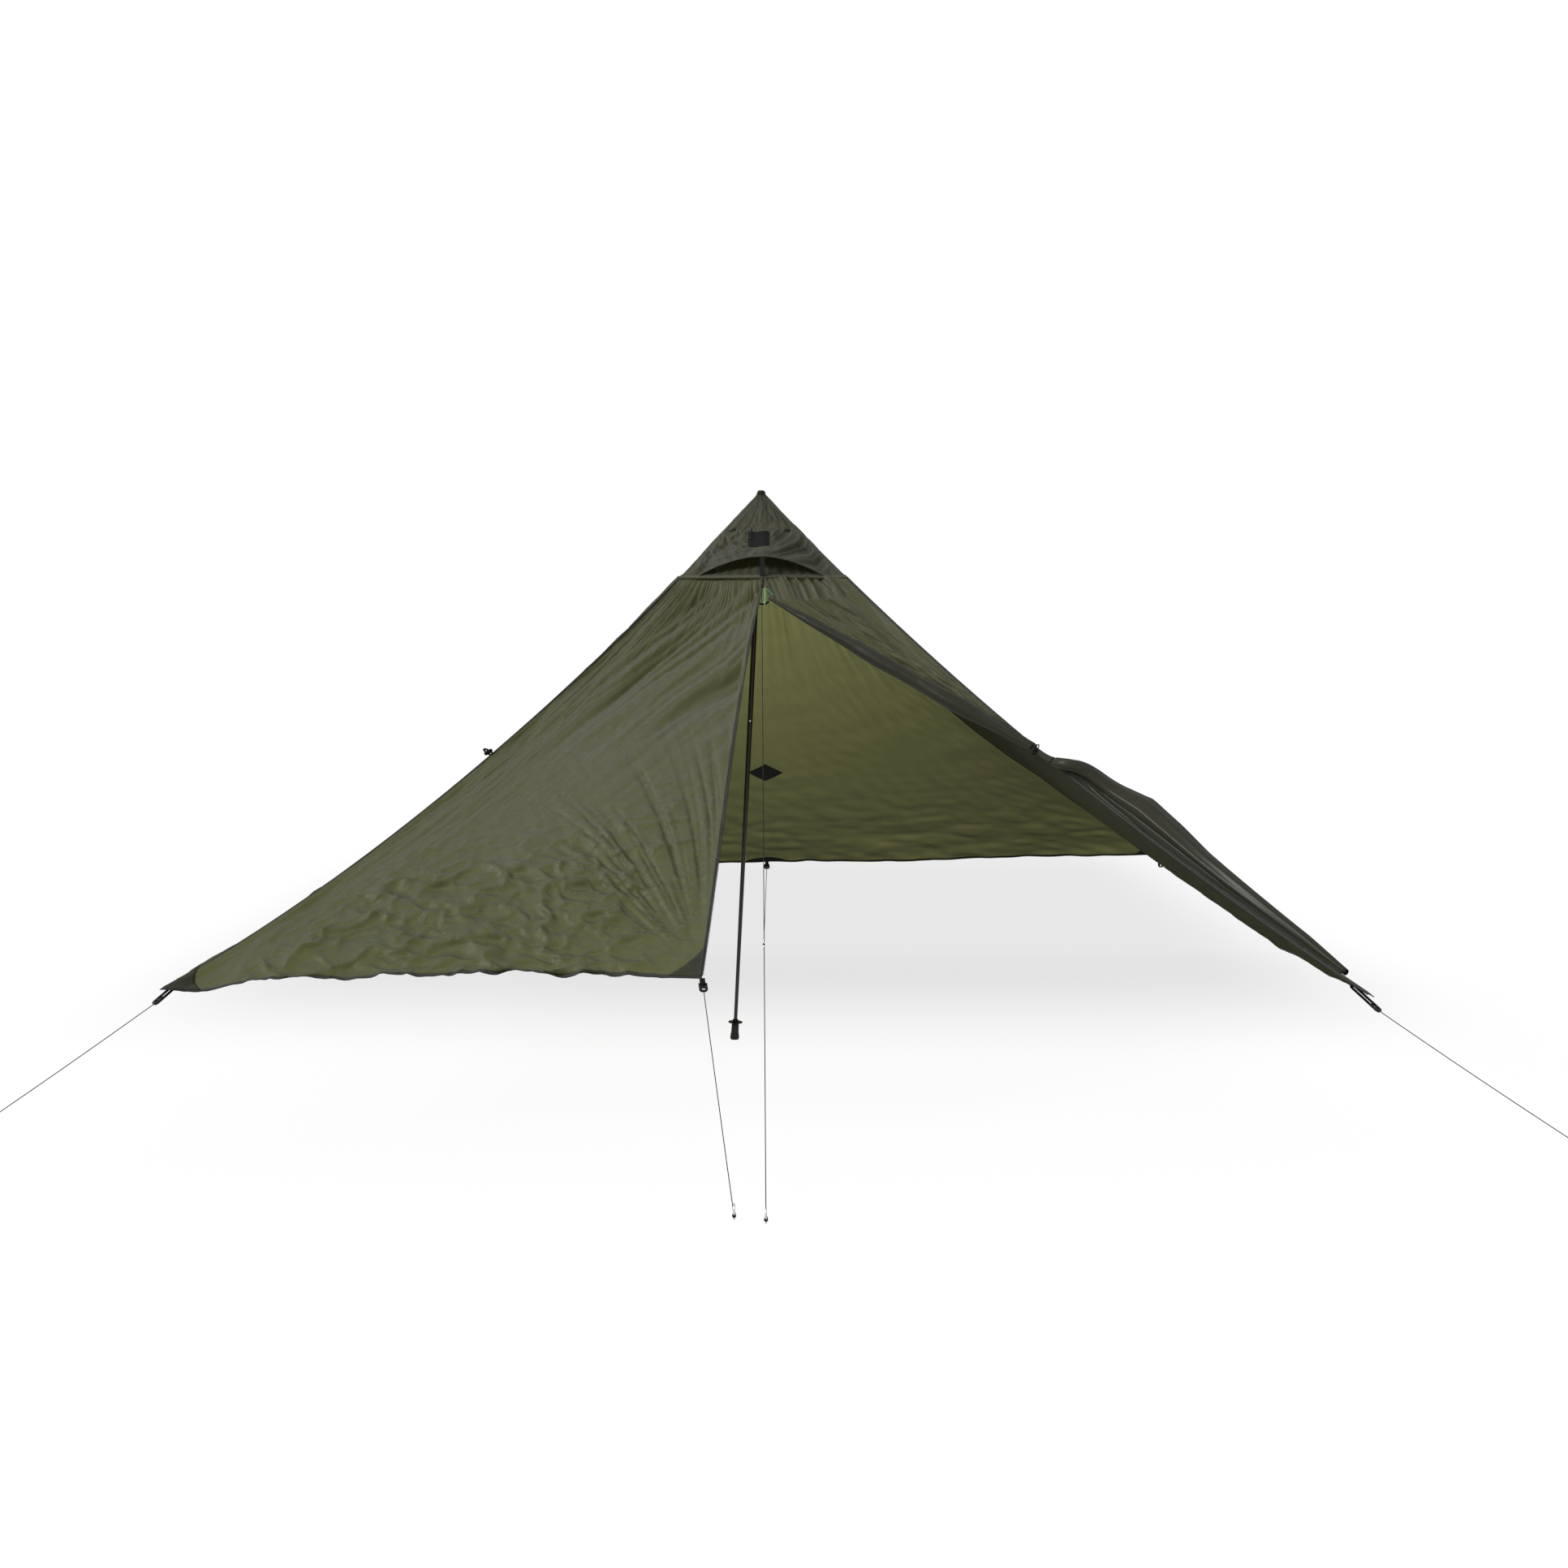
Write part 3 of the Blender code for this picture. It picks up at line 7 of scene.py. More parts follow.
import bmesh
import bpy
import numpy as np
from bpy.props import FloatProperty, FloatVectorProperty, PointerProperty
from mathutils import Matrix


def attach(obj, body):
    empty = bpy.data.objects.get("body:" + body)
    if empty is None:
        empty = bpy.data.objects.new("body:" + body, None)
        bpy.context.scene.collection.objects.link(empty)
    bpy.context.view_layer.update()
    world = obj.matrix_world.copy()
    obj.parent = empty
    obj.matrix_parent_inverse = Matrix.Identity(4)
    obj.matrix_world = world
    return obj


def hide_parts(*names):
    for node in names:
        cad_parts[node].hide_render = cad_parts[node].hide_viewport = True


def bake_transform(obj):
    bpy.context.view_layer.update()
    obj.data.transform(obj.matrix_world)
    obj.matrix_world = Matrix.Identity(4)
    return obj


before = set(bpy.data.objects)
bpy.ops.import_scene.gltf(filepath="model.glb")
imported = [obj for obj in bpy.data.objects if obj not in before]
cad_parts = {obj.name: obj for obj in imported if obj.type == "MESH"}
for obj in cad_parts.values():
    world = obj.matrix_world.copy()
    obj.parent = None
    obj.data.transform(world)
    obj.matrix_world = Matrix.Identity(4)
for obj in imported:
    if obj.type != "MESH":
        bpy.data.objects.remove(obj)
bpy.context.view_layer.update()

bl_info = {
    "name": "Camping tarp dressing",
    "version": (1, 0, 0),
    "blender": (4, 5, 0),
    "location": "3D View > Sidebar > Tarp",
    "description": "Builds the cloth, trim, lines, finishes and stage of a single-pole camping tarp",
    "category": "Object",
}

# Where the cloth hangs, measured from the tarp's own middle
CENTRE_X = 0.095
BASE_HALF = 1.400
SIDE_HEM_X = 1.355
PEAK_SHIFT = -0.017
APEX = np.array((PEAK_SHIFT, 0.0, 1.610))
UP = np.array((0.0, 0.0, 1.0))
FORWARD = np.array((0.0, -1.0, 0.0))
RIGHTWARD = np.array((1.0, 0.0, 0.0))
SEAM_HEIGHT = 1.350
# Foot of each ridge and of each wall's middle, then its sag in metres near the peak and near the foot
RIDGES = {
    "front_left": (np.array((-BASE_HALF, -BASE_HALF, 0.373)), (0.099, 0.122)),
    "front_right": (np.array((BASE_HALF, -BASE_HALF, 0.356)), (0.081, 0.072)),
    "back_left": (np.array((-BASE_HALF, BASE_HALF, 0.400)), (0.180, 0.040)),
    "back_right": (np.array((BASE_HALF, BASE_HALF, 0.400)), (0.180, 0.040)),
}
MIDDLES = {
    "left": (np.array((-SIDE_HEM_X, 0.0, 0.385)), (0.100, 0.100)),
    "right": (np.array((SIDE_HEM_X, 0.0, 0.385)), (0.100, 0.100)),
    "back": (np.array((0.0, BASE_HALF, 0.373)), (0.080, 0.080)),
}
# How flat each wall runs between its middle and its ridges
HEM_POWERS = {"left": 2.0, "right": 2.0, "back": 1.3}
WALLS = {
    "left": ("front_left", "back_left"),
    "back": ("back_left", "back_right"),
    "right": ("back_right", "front_right"),
}
OUTWARD = {
    "left": np.array((-1.0, 0.0, 1.0)),
    "right": np.array((1.0, 0.0, 1.0)),
    "back": np.array((0.0, 1.0, 1.0)),
    "front": np.array((0.0, -1.0, 1.0)),
}
ZIP_OPEN_S = 0.240
ZIP_FREE_S = 0.226
ZIP_TOP_X = -0.012
ZIP_BOW = 0.081
DOOR_FOOT_X = -0.150
DOOR_FOOT_HEIGHT = 0.399
DOOR_HOLLOW = 0.025
DOOR_HEM_RISE = 0.010
RIGHT_HEM_DROOP = 0.016

# Trim and patches
GAP = 0.0005
TAPE_R = 0.0025
EDGE_INSET = TAPE_R + 0.0010
HEM_THICK = 0.0022
SEAM_RISE = 0.0016
CAP_SEAM_WIDTH = 0.0180
CAP_SEAM_THICK = 0.0012
BRIM_WIDTH = 0.0075
BRIM_THICK = 0.0016
PATCH_CLOTH = 0.0008
PATCH_LIFT = 0.0016
PATCH_HEM = 0.085
PATCH_RIDGE = 0.090
DOOR_PATCH_HEM = 0.080
DOOR_PATCH_EDGE = 0.105
MID_PATCH_HALF = 0.085
MID_PATCH_RISE = 0.030
DIAMOND_HALF_W = 0.059
DIAMOND_HALF_H = 0.050
TAB_PLACES = {"left": 0.600, "right": 0.600, "back": 0.660}
TAB_REACH = 0.024
TAB_HALF = 0.010
TAB_EYE_R = 0.0050

# Rolled door
TIE_S = 0.510
ROLL_START = np.array((0.006, -0.376, 1.288))
ROLL_TURNS = 7.0
ROLL_CORE = 0.22
ROLL_SEAM_ANGLE = math.radians(190.0)
ROLL_END = 0.990
ROLL_R_START = 0.0055
ROLL_R_MIDDLE = 0.0215
ROLL_FULL_Q = 0.62
ROLL_PINCH_Q = 0.72
PINCH_R = 0.0120
TIE_CORD_R = 0.0014
TIE_GAP = 0.0009
TIE_OFFSET = PINCH_R + 2.0 * TIE_CORD_R + TAPE_R + 3.0 * TIE_GAP
FLAP_TURNS = 4.0
FLAP_CORE = 0.30
FLAP_SEAM_ANGLE = math.radians(215.0)
FLAP_START = 0.012
FLAP_TWIST_RISE = 0.030
FLAP_LEAN = 0.45
FLAP_REST_GAP = 0.0014
FLAP_LAID_Q = 0.26
FLAP_WALL_U = 0.985
# Share of the run past the tie, then half height and half width of the tied-back bundle
FLAP_SIZES = np.array(((0.00, 0.0120, 0.0120), (0.06, 0.0135, 0.0150), (0.125, 0.0210, 0.0240),
                       (0.20, 0.0265, 0.0340), (0.33, 0.0425, 0.0440), (0.42, 0.0385, 0.0460),
                       (0.53, 0.0305, 0.0430), (0.70, 0.0240, 0.0330), (0.87, 0.0170, 0.0230),
                       (1.00, 0.0080, 0.0120)))
FLAP_END_S = 0.960
PANEL_END_S = 0.478
PANEL_ZIP_SHARE = 0.10
PANEL_ROLL_RUN = (0.004, 0.955)
PANEL_HOLLOW = 0.012
PANEL_PLEAT = 0.003
STRAP_S = 0.278
STRAP_BACK = 0.0020
STRAP_SAG = 0.0045
STRAP_WIDTH = 0.0052
STRAP_THICK = 0.0028

# Peak
DOME_HEIGHT = 1.5965
DOME_RISE = 0.0130
WALL_RINGS = 30
DOME_RINGS = 8
VENT_TOP = 1.490
BRIM_RISE = 0.050
BRIM_PROUD = 0.052
BRIM_LEFT_X = -0.194
BRIM_RIGHT_X = 0.160
BRIM_ARCH_POWER = 0.75
BRIM_SWELL_POWER = 1.3
BRIM_TILT = 0.1
HOOD_GAP = 0.0012
HOOD_COLUMNS = 120
HOOD_ROWS = 40
LINING_TOP = 1.425
LINING_START = 0.08
LINING_SPAN = 0.84
PLEAT_COUNT = 13

# Lines, their adjusters and their pegs
CORD_R = 0.0010
LINE_SAG = 0.0045
CORNER_LOOP_INSET = 0.040
LEFT_LOOP_DROP = 0.0062
RIGHT_LOOP_DROP = 0.0081
CORNER_LINE_OUT = 0.0125
CORNER_LINE_DROP = 0.0330
ADJUSTER_LENGTH = 0.026
ADJUSTER_BAR = 0.0035
ADJUSTER_THICK = 0.0050
LOOP_CLEARANCE = 0.0003
WEBBING_WIDTH = 0.0120
WEBBING_THICK = 0.0010
WEBBING_REACH = 0.019
PEG_R = 0.0021
PEG_LEAN = 0.45
TIE_HEIGHT = 0.008
CORNER_PEG = 1.880
BACK_PEG = (-0.012, 1.900)
DOOR_PEG = (-0.067, -2.000)
PEAK_PEG = (-0.002, -2.030)
PEAK_LINE_S = 0.2475
PEG_BODIES = {"front_left": "front_left_peg", "front_right": "front_right_peg", "door": "door_peg",
              "back": "back_peg", "peak": "peak_peg"}

# Zip, its slider and its pull
ZIP_TAPE_WIDTH = 0.0085
ZIP_COVER_WIDTH = 0.0026
ZIP_TAPE_THICK = 0.0012
COIL_PITCH = 0.0030
COIL_R = 0.00045
SLIDER_LENGTH = 0.014
SLIDER_THICK = 0.0045
PULL_HANG = 0.0016
PULL_DROP = 0.050
PULL_R = 0.0012
TAIL_R = 0.0009

# Pitches of the weave and the stitches
RIPSTOP_PITCH = 0.006
THREAD_PITCH = 0.0011
STITCH_PITCH = 0.0042

# Folds: each wall's seed and depth, a wall's length down its slope, and the noise behind them
WALL_FOLDS = {"left": (31.0, 1.0), "right": (57.0, 0.5), "back": (83.0, 0.6)}
WALL_SLOPE = 1.9
ROW_POWER = 0.9
GOLDEN_ANGLE = 2.39996
NOISE_STEPS = (127.1, 311.7, 74.7)
NOISE_SPREAD = 43758.5453

# View that the photograph was taken from
CAMERA_PLACE = (CENTRE_X, -6.58, 1.21)
FOCAL_PIXELS = 2765.0
IMAGE_SIDE = 1932.0
SENSOR = 36.0
AXIS_PIXEL = (945.0, 772.0)


# Lengths and directions on the cloth

def unit(v):
    v = np.asarray(v, float)
    return v / np.maximum(np.linalg.norm(v, axis=-1, keepdims=True), 1e-12)


def mix(a, b, share):
    return a + (b - a) * share


def smooth(x, low, high):
    u = np.clip((np.asarray(x, float) - low) / (high - low), 0.0, 1.0)
    return u * u * (3.0 - 2.0 * u)


def hanging(line, s):
    """Points on a sagging line from the peak (s = 0) to its foot (s = 1)."""
    foot, sag = line
    s = np.asarray(s, float)[..., None]
    depth = sag[0] + (sag[1] - sag[0]) * s * s
    return APEX + (foot - APEX) * s - 4.0 * depth * s * (1.0 - s) * UP


def ridge(corner, s):
    return hanging(RIDGES[corner], s)


def zip_line(s):
    """Points on the zip edge, which runs down the middle of the front."""
    s = np.asarray(s, float)
    u = (s - ZIP_OPEN_S) / (1.0 - ZIP_OPEN_S)
    low = ZIP_TOP_X + (DOOR_FOOT_X - ZIP_TOP_X) * u - ZIP_BOW * u * (1.0 - u) ** 2
    high = PEAK_SHIFT + (ZIP_TOP_X - PEAK_SHIFT) * s / ZIP_OPEN_S
    x = np.where(s < ZIP_OPEN_S, high, low)
    z = APEX[2] + (DOOR_FOOT_HEIGHT - APEX[2]) * s
    return np.stack([x, -BASE_HALF * s, z], axis=-1)


def wall_surface(wall):
    """Surface of a wall, by its shares s down from the peak and u across."""
    first, second = WALLS[wall]

    def surface(s, u):
        """u runs from the first ridge (0) to the second (1)."""
        s, u = np.broadcast_arrays(np.asarray(s, float), np.asarray(u, float))
        t = 2.0 * u - 1.0
        share = np.abs(t) ** HEM_POWERS[wall]
        point = (ridge(first, s) * ((share - t) / 2.0)[..., None]
                 + hanging(MIDDLES[wall], s) * (1.0 - share)[..., None]
                 + ridge(second, s) * ((share + t) / 2.0)[..., None])
        if wall == "right":
            droop = RIGHT_HEM_DROOP * 4.0 * t * (1.0 - t) * s ** 6
            point = point - np.where(t > 0.0, droop, 0.0)[..., None] * UP
        return point

    return surface


def door_surface(s, u):
    """u runs from the front left ridge (0) to the zip edge (1)."""
    s, u = np.broadcast_arrays(np.asarray(s, float), np.asarray(u, float))
    point = mix(ridge("front_left", s), zip_line(s), u[..., None])
    bow = 4.0 * u * (1.0 - u) * s
    return point + np.stack([np.zeros_like(bow), DOOR_HOLLOW * bow, DOOR_HEM_RISE * bow * s], axis=-1)


def share_at(line, height):
    """Shares at which lines from the peak come down to a height."""
    shape = np.broadcast_shapes(line(0.5).shape[:-1], np.shape(height))
    low, high = np.zeros(shape), np.ones(shape)
    for _ in range(40):
        s = (low + high) / 2.0
        above = line(s)[..., 2] > height
        low, high = np.where(above, s, low), np.where(above, high, s)
    return s


def seam_share(line):
    """Share at which one line from the peak crosses the cap's seam."""
    return float(share_at(line, SEAM_HEIGHT))


# Noise of the folds

def lattice(x, y, seed):
    """Smooth noise from about -1 to 1, with a slope of its own at each whole x and y."""
    column, row = np.floor(x), np.floor(y)
    a, b = x - column, y - row
    by_column, by_row, by_seed = NOISE_STEPS

    def corner(i, j):
        turn = np.sin((column + i) * by_column + (row + j) * by_row + seed * by_seed) * NOISE_SPREAD
        angle = 2.0 * math.pi * (turn - np.floor(turn))
        return np.cos(angle) * (a - i) + np.sin(angle) * (b - j)

    across, down = (u * u * u * (u * (6.0 * u - 15.0) + 10.0) for u in (a, b))
    upper = mix(corner(0, 0), corner(1, 0), across)
    return 1.4 * mix(upper, mix(corner(0, 1), corner(1, 1), across), down)


def grain(x, y, seed, detail=1):
    """Noise at each pair of x and y, with octaves of finer noise."""
    x, y = np.broadcast_arrays(np.asarray(x, float), np.asarray(y, float))
    return sum(lattice(x * 2.0 ** k, y * 2.0 ** k, seed + 7.3 * k) / 2.0 ** k for k in range(detail))


def creases(x, y, seed, detail=1):
    """Noise from 0 to 1 with sharp crests, as creased cloth has."""
    return 1.0 - np.minimum(1.0, 2.2 * np.abs(grain(x, y, seed, detail)))


def facets(x, y, seed, count, longest, shortest):
    """Crumpled heights from about -1 to 1: flat facets between sharp creases, as in packed cloth."""
    bend = grain(x * 3.1, y * 3.1, seed + 0.7, 2) * 0.030
    total = 0.0
    for k in range(count):
        turn = seed + GOLDEN_ANGLE * k
        length = longest * (shortest / longest) ** (k / (count - 1))
        at = (x * math.cos(turn) + y * math.sin(turn) + bend) / length + 0.37 * k
        wave = 4.0 * np.abs(at - np.floor(at) - 0.5) - 1.0
        calm = smooth(grain(x * 2.3 + 5.1 * k, y * 2.3, seed + k), -0.35, 0.45)
        total = total + wave * calm * length / longest
    return total / math.sqrt(count)


# Meshes

def bounded_uv(points, mode):
    """Cloth coordinates in metres: flat on a panel's own plane, or unrolled along its grid."""
    if mode == "plane":
        right = unit(points[-1, -1] - points[-1, 0])
        middle = points.shape[1] // 2
        down = points[-1, middle] - points[0, middle]
        down = unit(down - right * down.dot(right))
        away = points - points[0, middle]
        return np.stack([away @ right, away @ down], axis=-1)
    across = np.linalg.norm(np.diff(points, axis=1), axis=-1).mean(axis=0)
    along = np.linalg.norm(np.diff(points, axis=0), axis=-1).mean(axis=1)
    u = np.concatenate([[0.0], np.cumsum(across)])
    v = np.concatenate([[0.0], np.cumsum(along)])
    return np.stack(np.meshgrid(u, v), axis=-1)


def cloth_mesh(name, vertices, faces, corner_uv):
    """Mesh with its cloth coordinates, a pair for each corner of each face."""
    mesh = bpy.data.meshes.new(name)
    mesh.from_pydata(vertices, [], faces)
    layer = mesh.uv_layers.new(name="cloth")
    layer.uv.foreach_set("vector", np.asarray(corner_uv, np.float32).ravel())
    mesh.shade_smooth()
    return mesh


def grid_faces(rows, columns, wrap=False):
    """Quads between the points of a grid, closed into a ring of columns where wrap is set."""
    index = np.arange(rows * columns).reshape(rows, columns)
    if wrap:
        index = np.concatenate([index, index[:, :1]], axis=1)
    quads = np.stack([index[:-1, :-1], index[:-1, 1:], index[1:, 1:], index[1:, :-1]], axis=-1)
    return quads.reshape(-1, 4).tolist()


def grid_mesh(name, points, uv, faces=None):
    """Mesh of a grid of points, with the quads between them or the given faces."""
    faces = faces or grid_faces(*points.shape[:2])
    corners = [k for face in faces for k in face]
    vertices = points.reshape(-1, 3) + RIGHTWARD * CENTRE_X
    return cloth_mesh(name, vertices.tolist(), faces, uv.reshape(-1, 2)[corners])


def area_of(points):
    a, b = points[1:, :-1] - points[:-1, :-1], points[:-1, 1:] - points[:-1, :-1]
    c, d = points[:-1, 1:] - points[1:, 1:], points[1:, :-1] - points[1:, 1:]
    return float((np.linalg.norm(np.cross(a, b), axis=-1)
                  + np.linalg.norm(np.cross(c, d), axis=-1)).sum() / 2.0)


def distance(a, b):
    return float(np.linalg.norm(b - a))


def length_of(path):
    return float(np.linalg.norm(np.diff(path, axis=0), axis=-1).sum())


def add_piece(name, mesh, material, nodes=(), body="tarp"):
    """Piece on a body, in a material, that stands for the named CAD nodes."""
    piece = bpy.data.objects.new(name, mesh)
    bpy.context.scene.collection.objects.link(piece)
    mesh.materials.append(finish(material))
    if body:
        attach(piece, body)
    if nodes:
        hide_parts(*nodes)
    return piece


def thicken(piece, thickness):
    solid = piece.modifiers.new("thickness", "SOLIDIFY")
    solid.thickness = thickness
    solid.offset = 0.0
    return piece


def cloth_piece(name, points, mode, material, nodes, thickness):
    """Piece of thin cloth over a grid of points."""
    mesh = grid_mesh(name, points, bounded_uv(points, mode))
    return thicken(add_piece(name, mesh, material, nodes), thickness)


def outward_normals(points, outward):
    rows = np.gradient(points, axis=0)
    columns = np.gradient(points, axis=1)
    normal = unit(np.cross(rows, columns))
    flip = np.sign((normal * outward).sum(axis=-1, keepdims=True))
    return normal * np.where(flip == 0.0, 1.0, flip)


def sampled(field, row, column):
    """Values between the points of a grid."""
    j = np.clip(row.astype(int), 0, field.shape[0] - 2)
    i = np.clip(column.astype(int), 0, field.shape[1] - 2)
    a, b = (row - j)[..., None], (column - i)[..., None]
    upper = mix(field[j, i], field[j, i + 1], b)
    return mix(upper, mix(field[j + 1, i], field[j + 1, i + 1], b), a)


class Panel:
    """Dressed cloth between two lines from the peak: v runs from the seam (0) to the hem (1)."""

    def __init__(self, surface, outward, columns, rows, wrinkles):
        u = np.linspace(0.0, 1.0, columns + 1)
        v = np.linspace(0.0, 1.0, rows + 1) ** ROW_POWER
        top = share_at(lambda s: surface(s, u), SEAM_HEIGHT)
        self.u, self.v = np.meshgrid(u, v)
        self.rows, self.columns = rows, columns
        flat = surface(top + (1.0 - top) * self.v, self.u)
        self.length = distance(flat[0, columns // 2], flat[-1, columns // 2])
        self.width = distance(flat[-1, 0], flat[-1, -1])
        self.flat_area = area_of(flat)
        self.points = flat + outward_normals(flat, outward) * wrinkles(self, flat)[..., None]
        self.normal = outward_normals(self.points, outward)

    def at(self, v, u, lift=0.0):
        """Points off the dressed cloth, outwards where lift is positive."""
        v, u = np.broadcast_arrays(np.asarray(v, float), np.asarray(u, float))
        row = np.clip(v, 0.0, 1.0) ** (1.0 / ROW_POWER) * self.rows
        column = np.clip(u, 0.0, 1.0) * self.columns
        return sampled(self.points, row, column) + unit(sampled(self.normal, row, column)) * lift

    def outward_at(self, v, u):
        """Direction off the dressed cloth."""
        return unit(self.at(v, u, 0.01) - self.at(v, u))


def ribbon(path, side, face, width, thick):
    """Points of a flat band: path, its width's direction and its face's direction."""
    path, side, face = np.asarray(path), unit(side), unit(face)
    half, rise = width / 2.0, thick / 2.0
    edge = min(rise, half) * 0.5
    outline = [(-half, -rise + edge), (-half + edge, -rise), (half - edge, -rise),
               (half, -rise + edge), (half, rise - edge), (half - edge, rise),
               (-half + edge, rise), (-half, rise - edge)]
    return np.stack([path + side * x + face * y for x, y in outline], axis=1)


def ribbon_mesh(name, points, closed=False):
    """Mesh of a band or tube from its rings of points, with its ends joined to each other or closed."""
    uv = bounded_uv(np.concatenate([points, points[:, :1]], axis=1), "unrolled")[:, :-1]
    if closed:
        points = np.concatenate([points, points[:1]], axis=0)
        uv = np.concatenate([uv, uv[-1:]], axis=0)
    rows, columns = points.shape[:2]
    faces = grid_faces(rows, columns, wrap=True)
    if not closed:
        faces += [list(range(columns)), list(range(rows * columns - 1, (rows - 1) * columns - 1, -1))]
    return grid_mesh(name, points, uv, faces)


def joined(name, meshes):
    """One mesh from several."""
    vertices, faces, uvs = [], [], []
    for mesh in meshes:
        start = len(vertices)
        vertices += [tuple(v.co) for v in mesh.vertices]
        faces += [[start + k for k in p.vertices] for p in mesh.polygons]
        uvs += [tuple(item.vector) for item in mesh.uv_layers["cloth"].uv]
        bpy.data.meshes.remove(mesh)
    return cloth_mesh(name, vertices, faces, uvs)


def whole_turn(count):
    """Angles evenly round a circle."""
    return np.linspace(0.0, 2.0 * math.pi, count, endpoint=False)


def turned(side, over, angle):
    """Directions that turn from side, at angle 0, towards over."""
    angle = np.asarray(angle, float)[..., None]
    return side * np.cos(angle) + over * np.sin(angle)


def ring_path(points, radius, sides):
    """Rings of points round a path, for a cord or a tube."""
    forward = unit(np.gradient(points, axis=0))
    hint = UP if abs(forward[0][2]) < 0.9 else RIGHTWARD
    side = unit(np.cross(forward[0], hint))
    rings = []
    for point, ahead in zip(points, forward):
        side = unit(side - ahead * side.dot(ahead))
        rings.append(point + turned(side, np.cross(ahead, side), whole_turn(sides)) * radius)
    return np.stack(rings)


def tube_mesh(name, points, radius, sides):
    return ribbon_mesh(name, ring_path(points, radius, sides))


# Finishes

class Value:
    """Output of a node that takes part in sums as a number does."""

    def __init__(self, graph, socket):
        self.graph = graph
        self.socket = socket

    def __add__(self, other):
        return self.graph.sum("ADD", self, other)

    def __radd__(self, other):
        return self.graph.sum("ADD", other, self)

    def __sub__(self, other):
        return self.graph.sum("SUBTRACT", self, other)

    def __rsub__(self, other):
        return self.graph.sum("SUBTRACT", other, self)

    def __mul__(self, other):
        return self.graph.sum("MULTIPLY", self, other)

    def __rmul__(self, other):
        return self.graph.sum("MULTIPLY", other, self)

    def __truediv__(self, other):
        return self.graph.sum("DIVIDE", self, other)

    def __rtruediv__(self, other):
        return self.graph.sum("DIVIDE", other, self)

    def __gt__(self, other):
        return self.graph.sum("GREATER_THAN", self, other)

    def __abs__(self):
        return self.graph.sum("ABSOLUTE", self)

    def wave(self):
        return self.graph.sum("SINE", self)

    def fraction(self):
        return self.graph.sum("FRACT", self)

    def clamped(self):
        return self.graph.add("ShaderNodeClamp", {}, {"Value": self})


class Graph:
    """Node tree of one finish, or of the world."""

    def __init__(self, owner):
        owner.use_nodes = True
        self.tree = owner.node_tree
        self.shader = self.tree.nodes.get("Principled BSDF") or self.tree.nodes["Background"]
        self.output = self.tree.nodes.get("Material Output") or self.tree.nodes["World Output"]

    def add(self, kind, settings=None, sockets=None, out=0):
        """One node: its type, its settings, then the values or links of its sockets."""
        node = self.tree.nodes.new(kind)
        for name, value in (settings or {}).items():
            setattr(node, name, value)
        for key, value in (sockets or {}).items():
            self.feed(node.inputs[key], value)
        return Value(self, node.outputs[out])

    def sum(self, operation, *values):
        return self.add("ShaderNodeMath", {"operation": operation}, dict(enumerate(values)))

    def feed(self, socket, value):
        if isinstance(value, Value):
            self.tree.links.new(value.socket, socket)
        else:
            socket.default_value = value

    def set(self, **values):
        """Sockets of the shader, by name with underscores for spaces."""
        for name, value in values.items():
            self.feed(self.shader.inputs[name.replace("_", " ")], value)

    def shaded(self):
        return Value(self, self.shader.outputs[0])

    def show(self, shader):
        self.feed(self.output.inputs[0], shader)

    def place(self):
        return self.add("ShaderNodeUVMap", {"uv_map": "cloth"})

    def object_place(self):
        return self.add("ShaderNodeTexCoord", out=3)

    def split(self, vector):
        node = self.add("ShaderNodeSeparateXYZ", {}, {0: vector}).socket.node
        return [Value(self, socket) for socket in node.outputs]

    def noise(self, vector, scale, detail=3.0, roughness=0.5, stretch=None):
        if stretch:
            vector = self.add("ShaderNodeMapping", {}, {"Vector": vector, "Scale": stretch})
        return self.add("ShaderNodeTexNoise", {}, {"Vector": vector, "Scale": scale,
                                                   "Detail": detail, "Roughness": roughness})

    def colour(self, share, first, second):
        first, second = (end if isinstance(end, Value) else (*end, 1.0) for end in (first, second))
        return self.add("ShaderNodeMix", {"data_type": "RGBA"}, {0: share, 6: first, 7: second}, out=2)

    def shaders(self, share, first, second):
        return self.add("ShaderNodeMixShader", {}, {0: share, 1: first, 2: second})

    def ease(self, value):
        """0 below 0 and 1 above 1, with a soft start and end."""
        share = value.clamped()
        return share * share * (3.0 - share * 2.0)

    def bump(self, height, distance, strength=1.0, under=None):
        sockets = {"Height": height, "Distance": distance, "Strength": strength}
        if under:
            sockets["Normal"] = under
        return self.add("ShaderNodeBump", {}, sockets)

    def let_through(self, colour, share):
        """Lets light through thin cloth, by a share that is set by itself."""
        through = self.add("ShaderNodeBsdfTranslucent", {}, {"Color": (*colour, 1.0)})
        self.show(self.shaders(share, self.shaded(), through))


def scaled(colour, share):
    return tuple(c * share for c in colour)


def ribs(way, pitch):
    """Even ridges, one for each pitch."""
    return (way * (2.0 * math.pi / pitch)).wave()


def line_grid(x, y, pitch, start):
    """1 on the lines of a square grid, which start that share of the pitch off each square's middle."""
    across, down = (abs((way / pitch).fraction() - 0.5) > start for way in (x, y))
    return x.graph.sum("MAXIMUM", across, down)


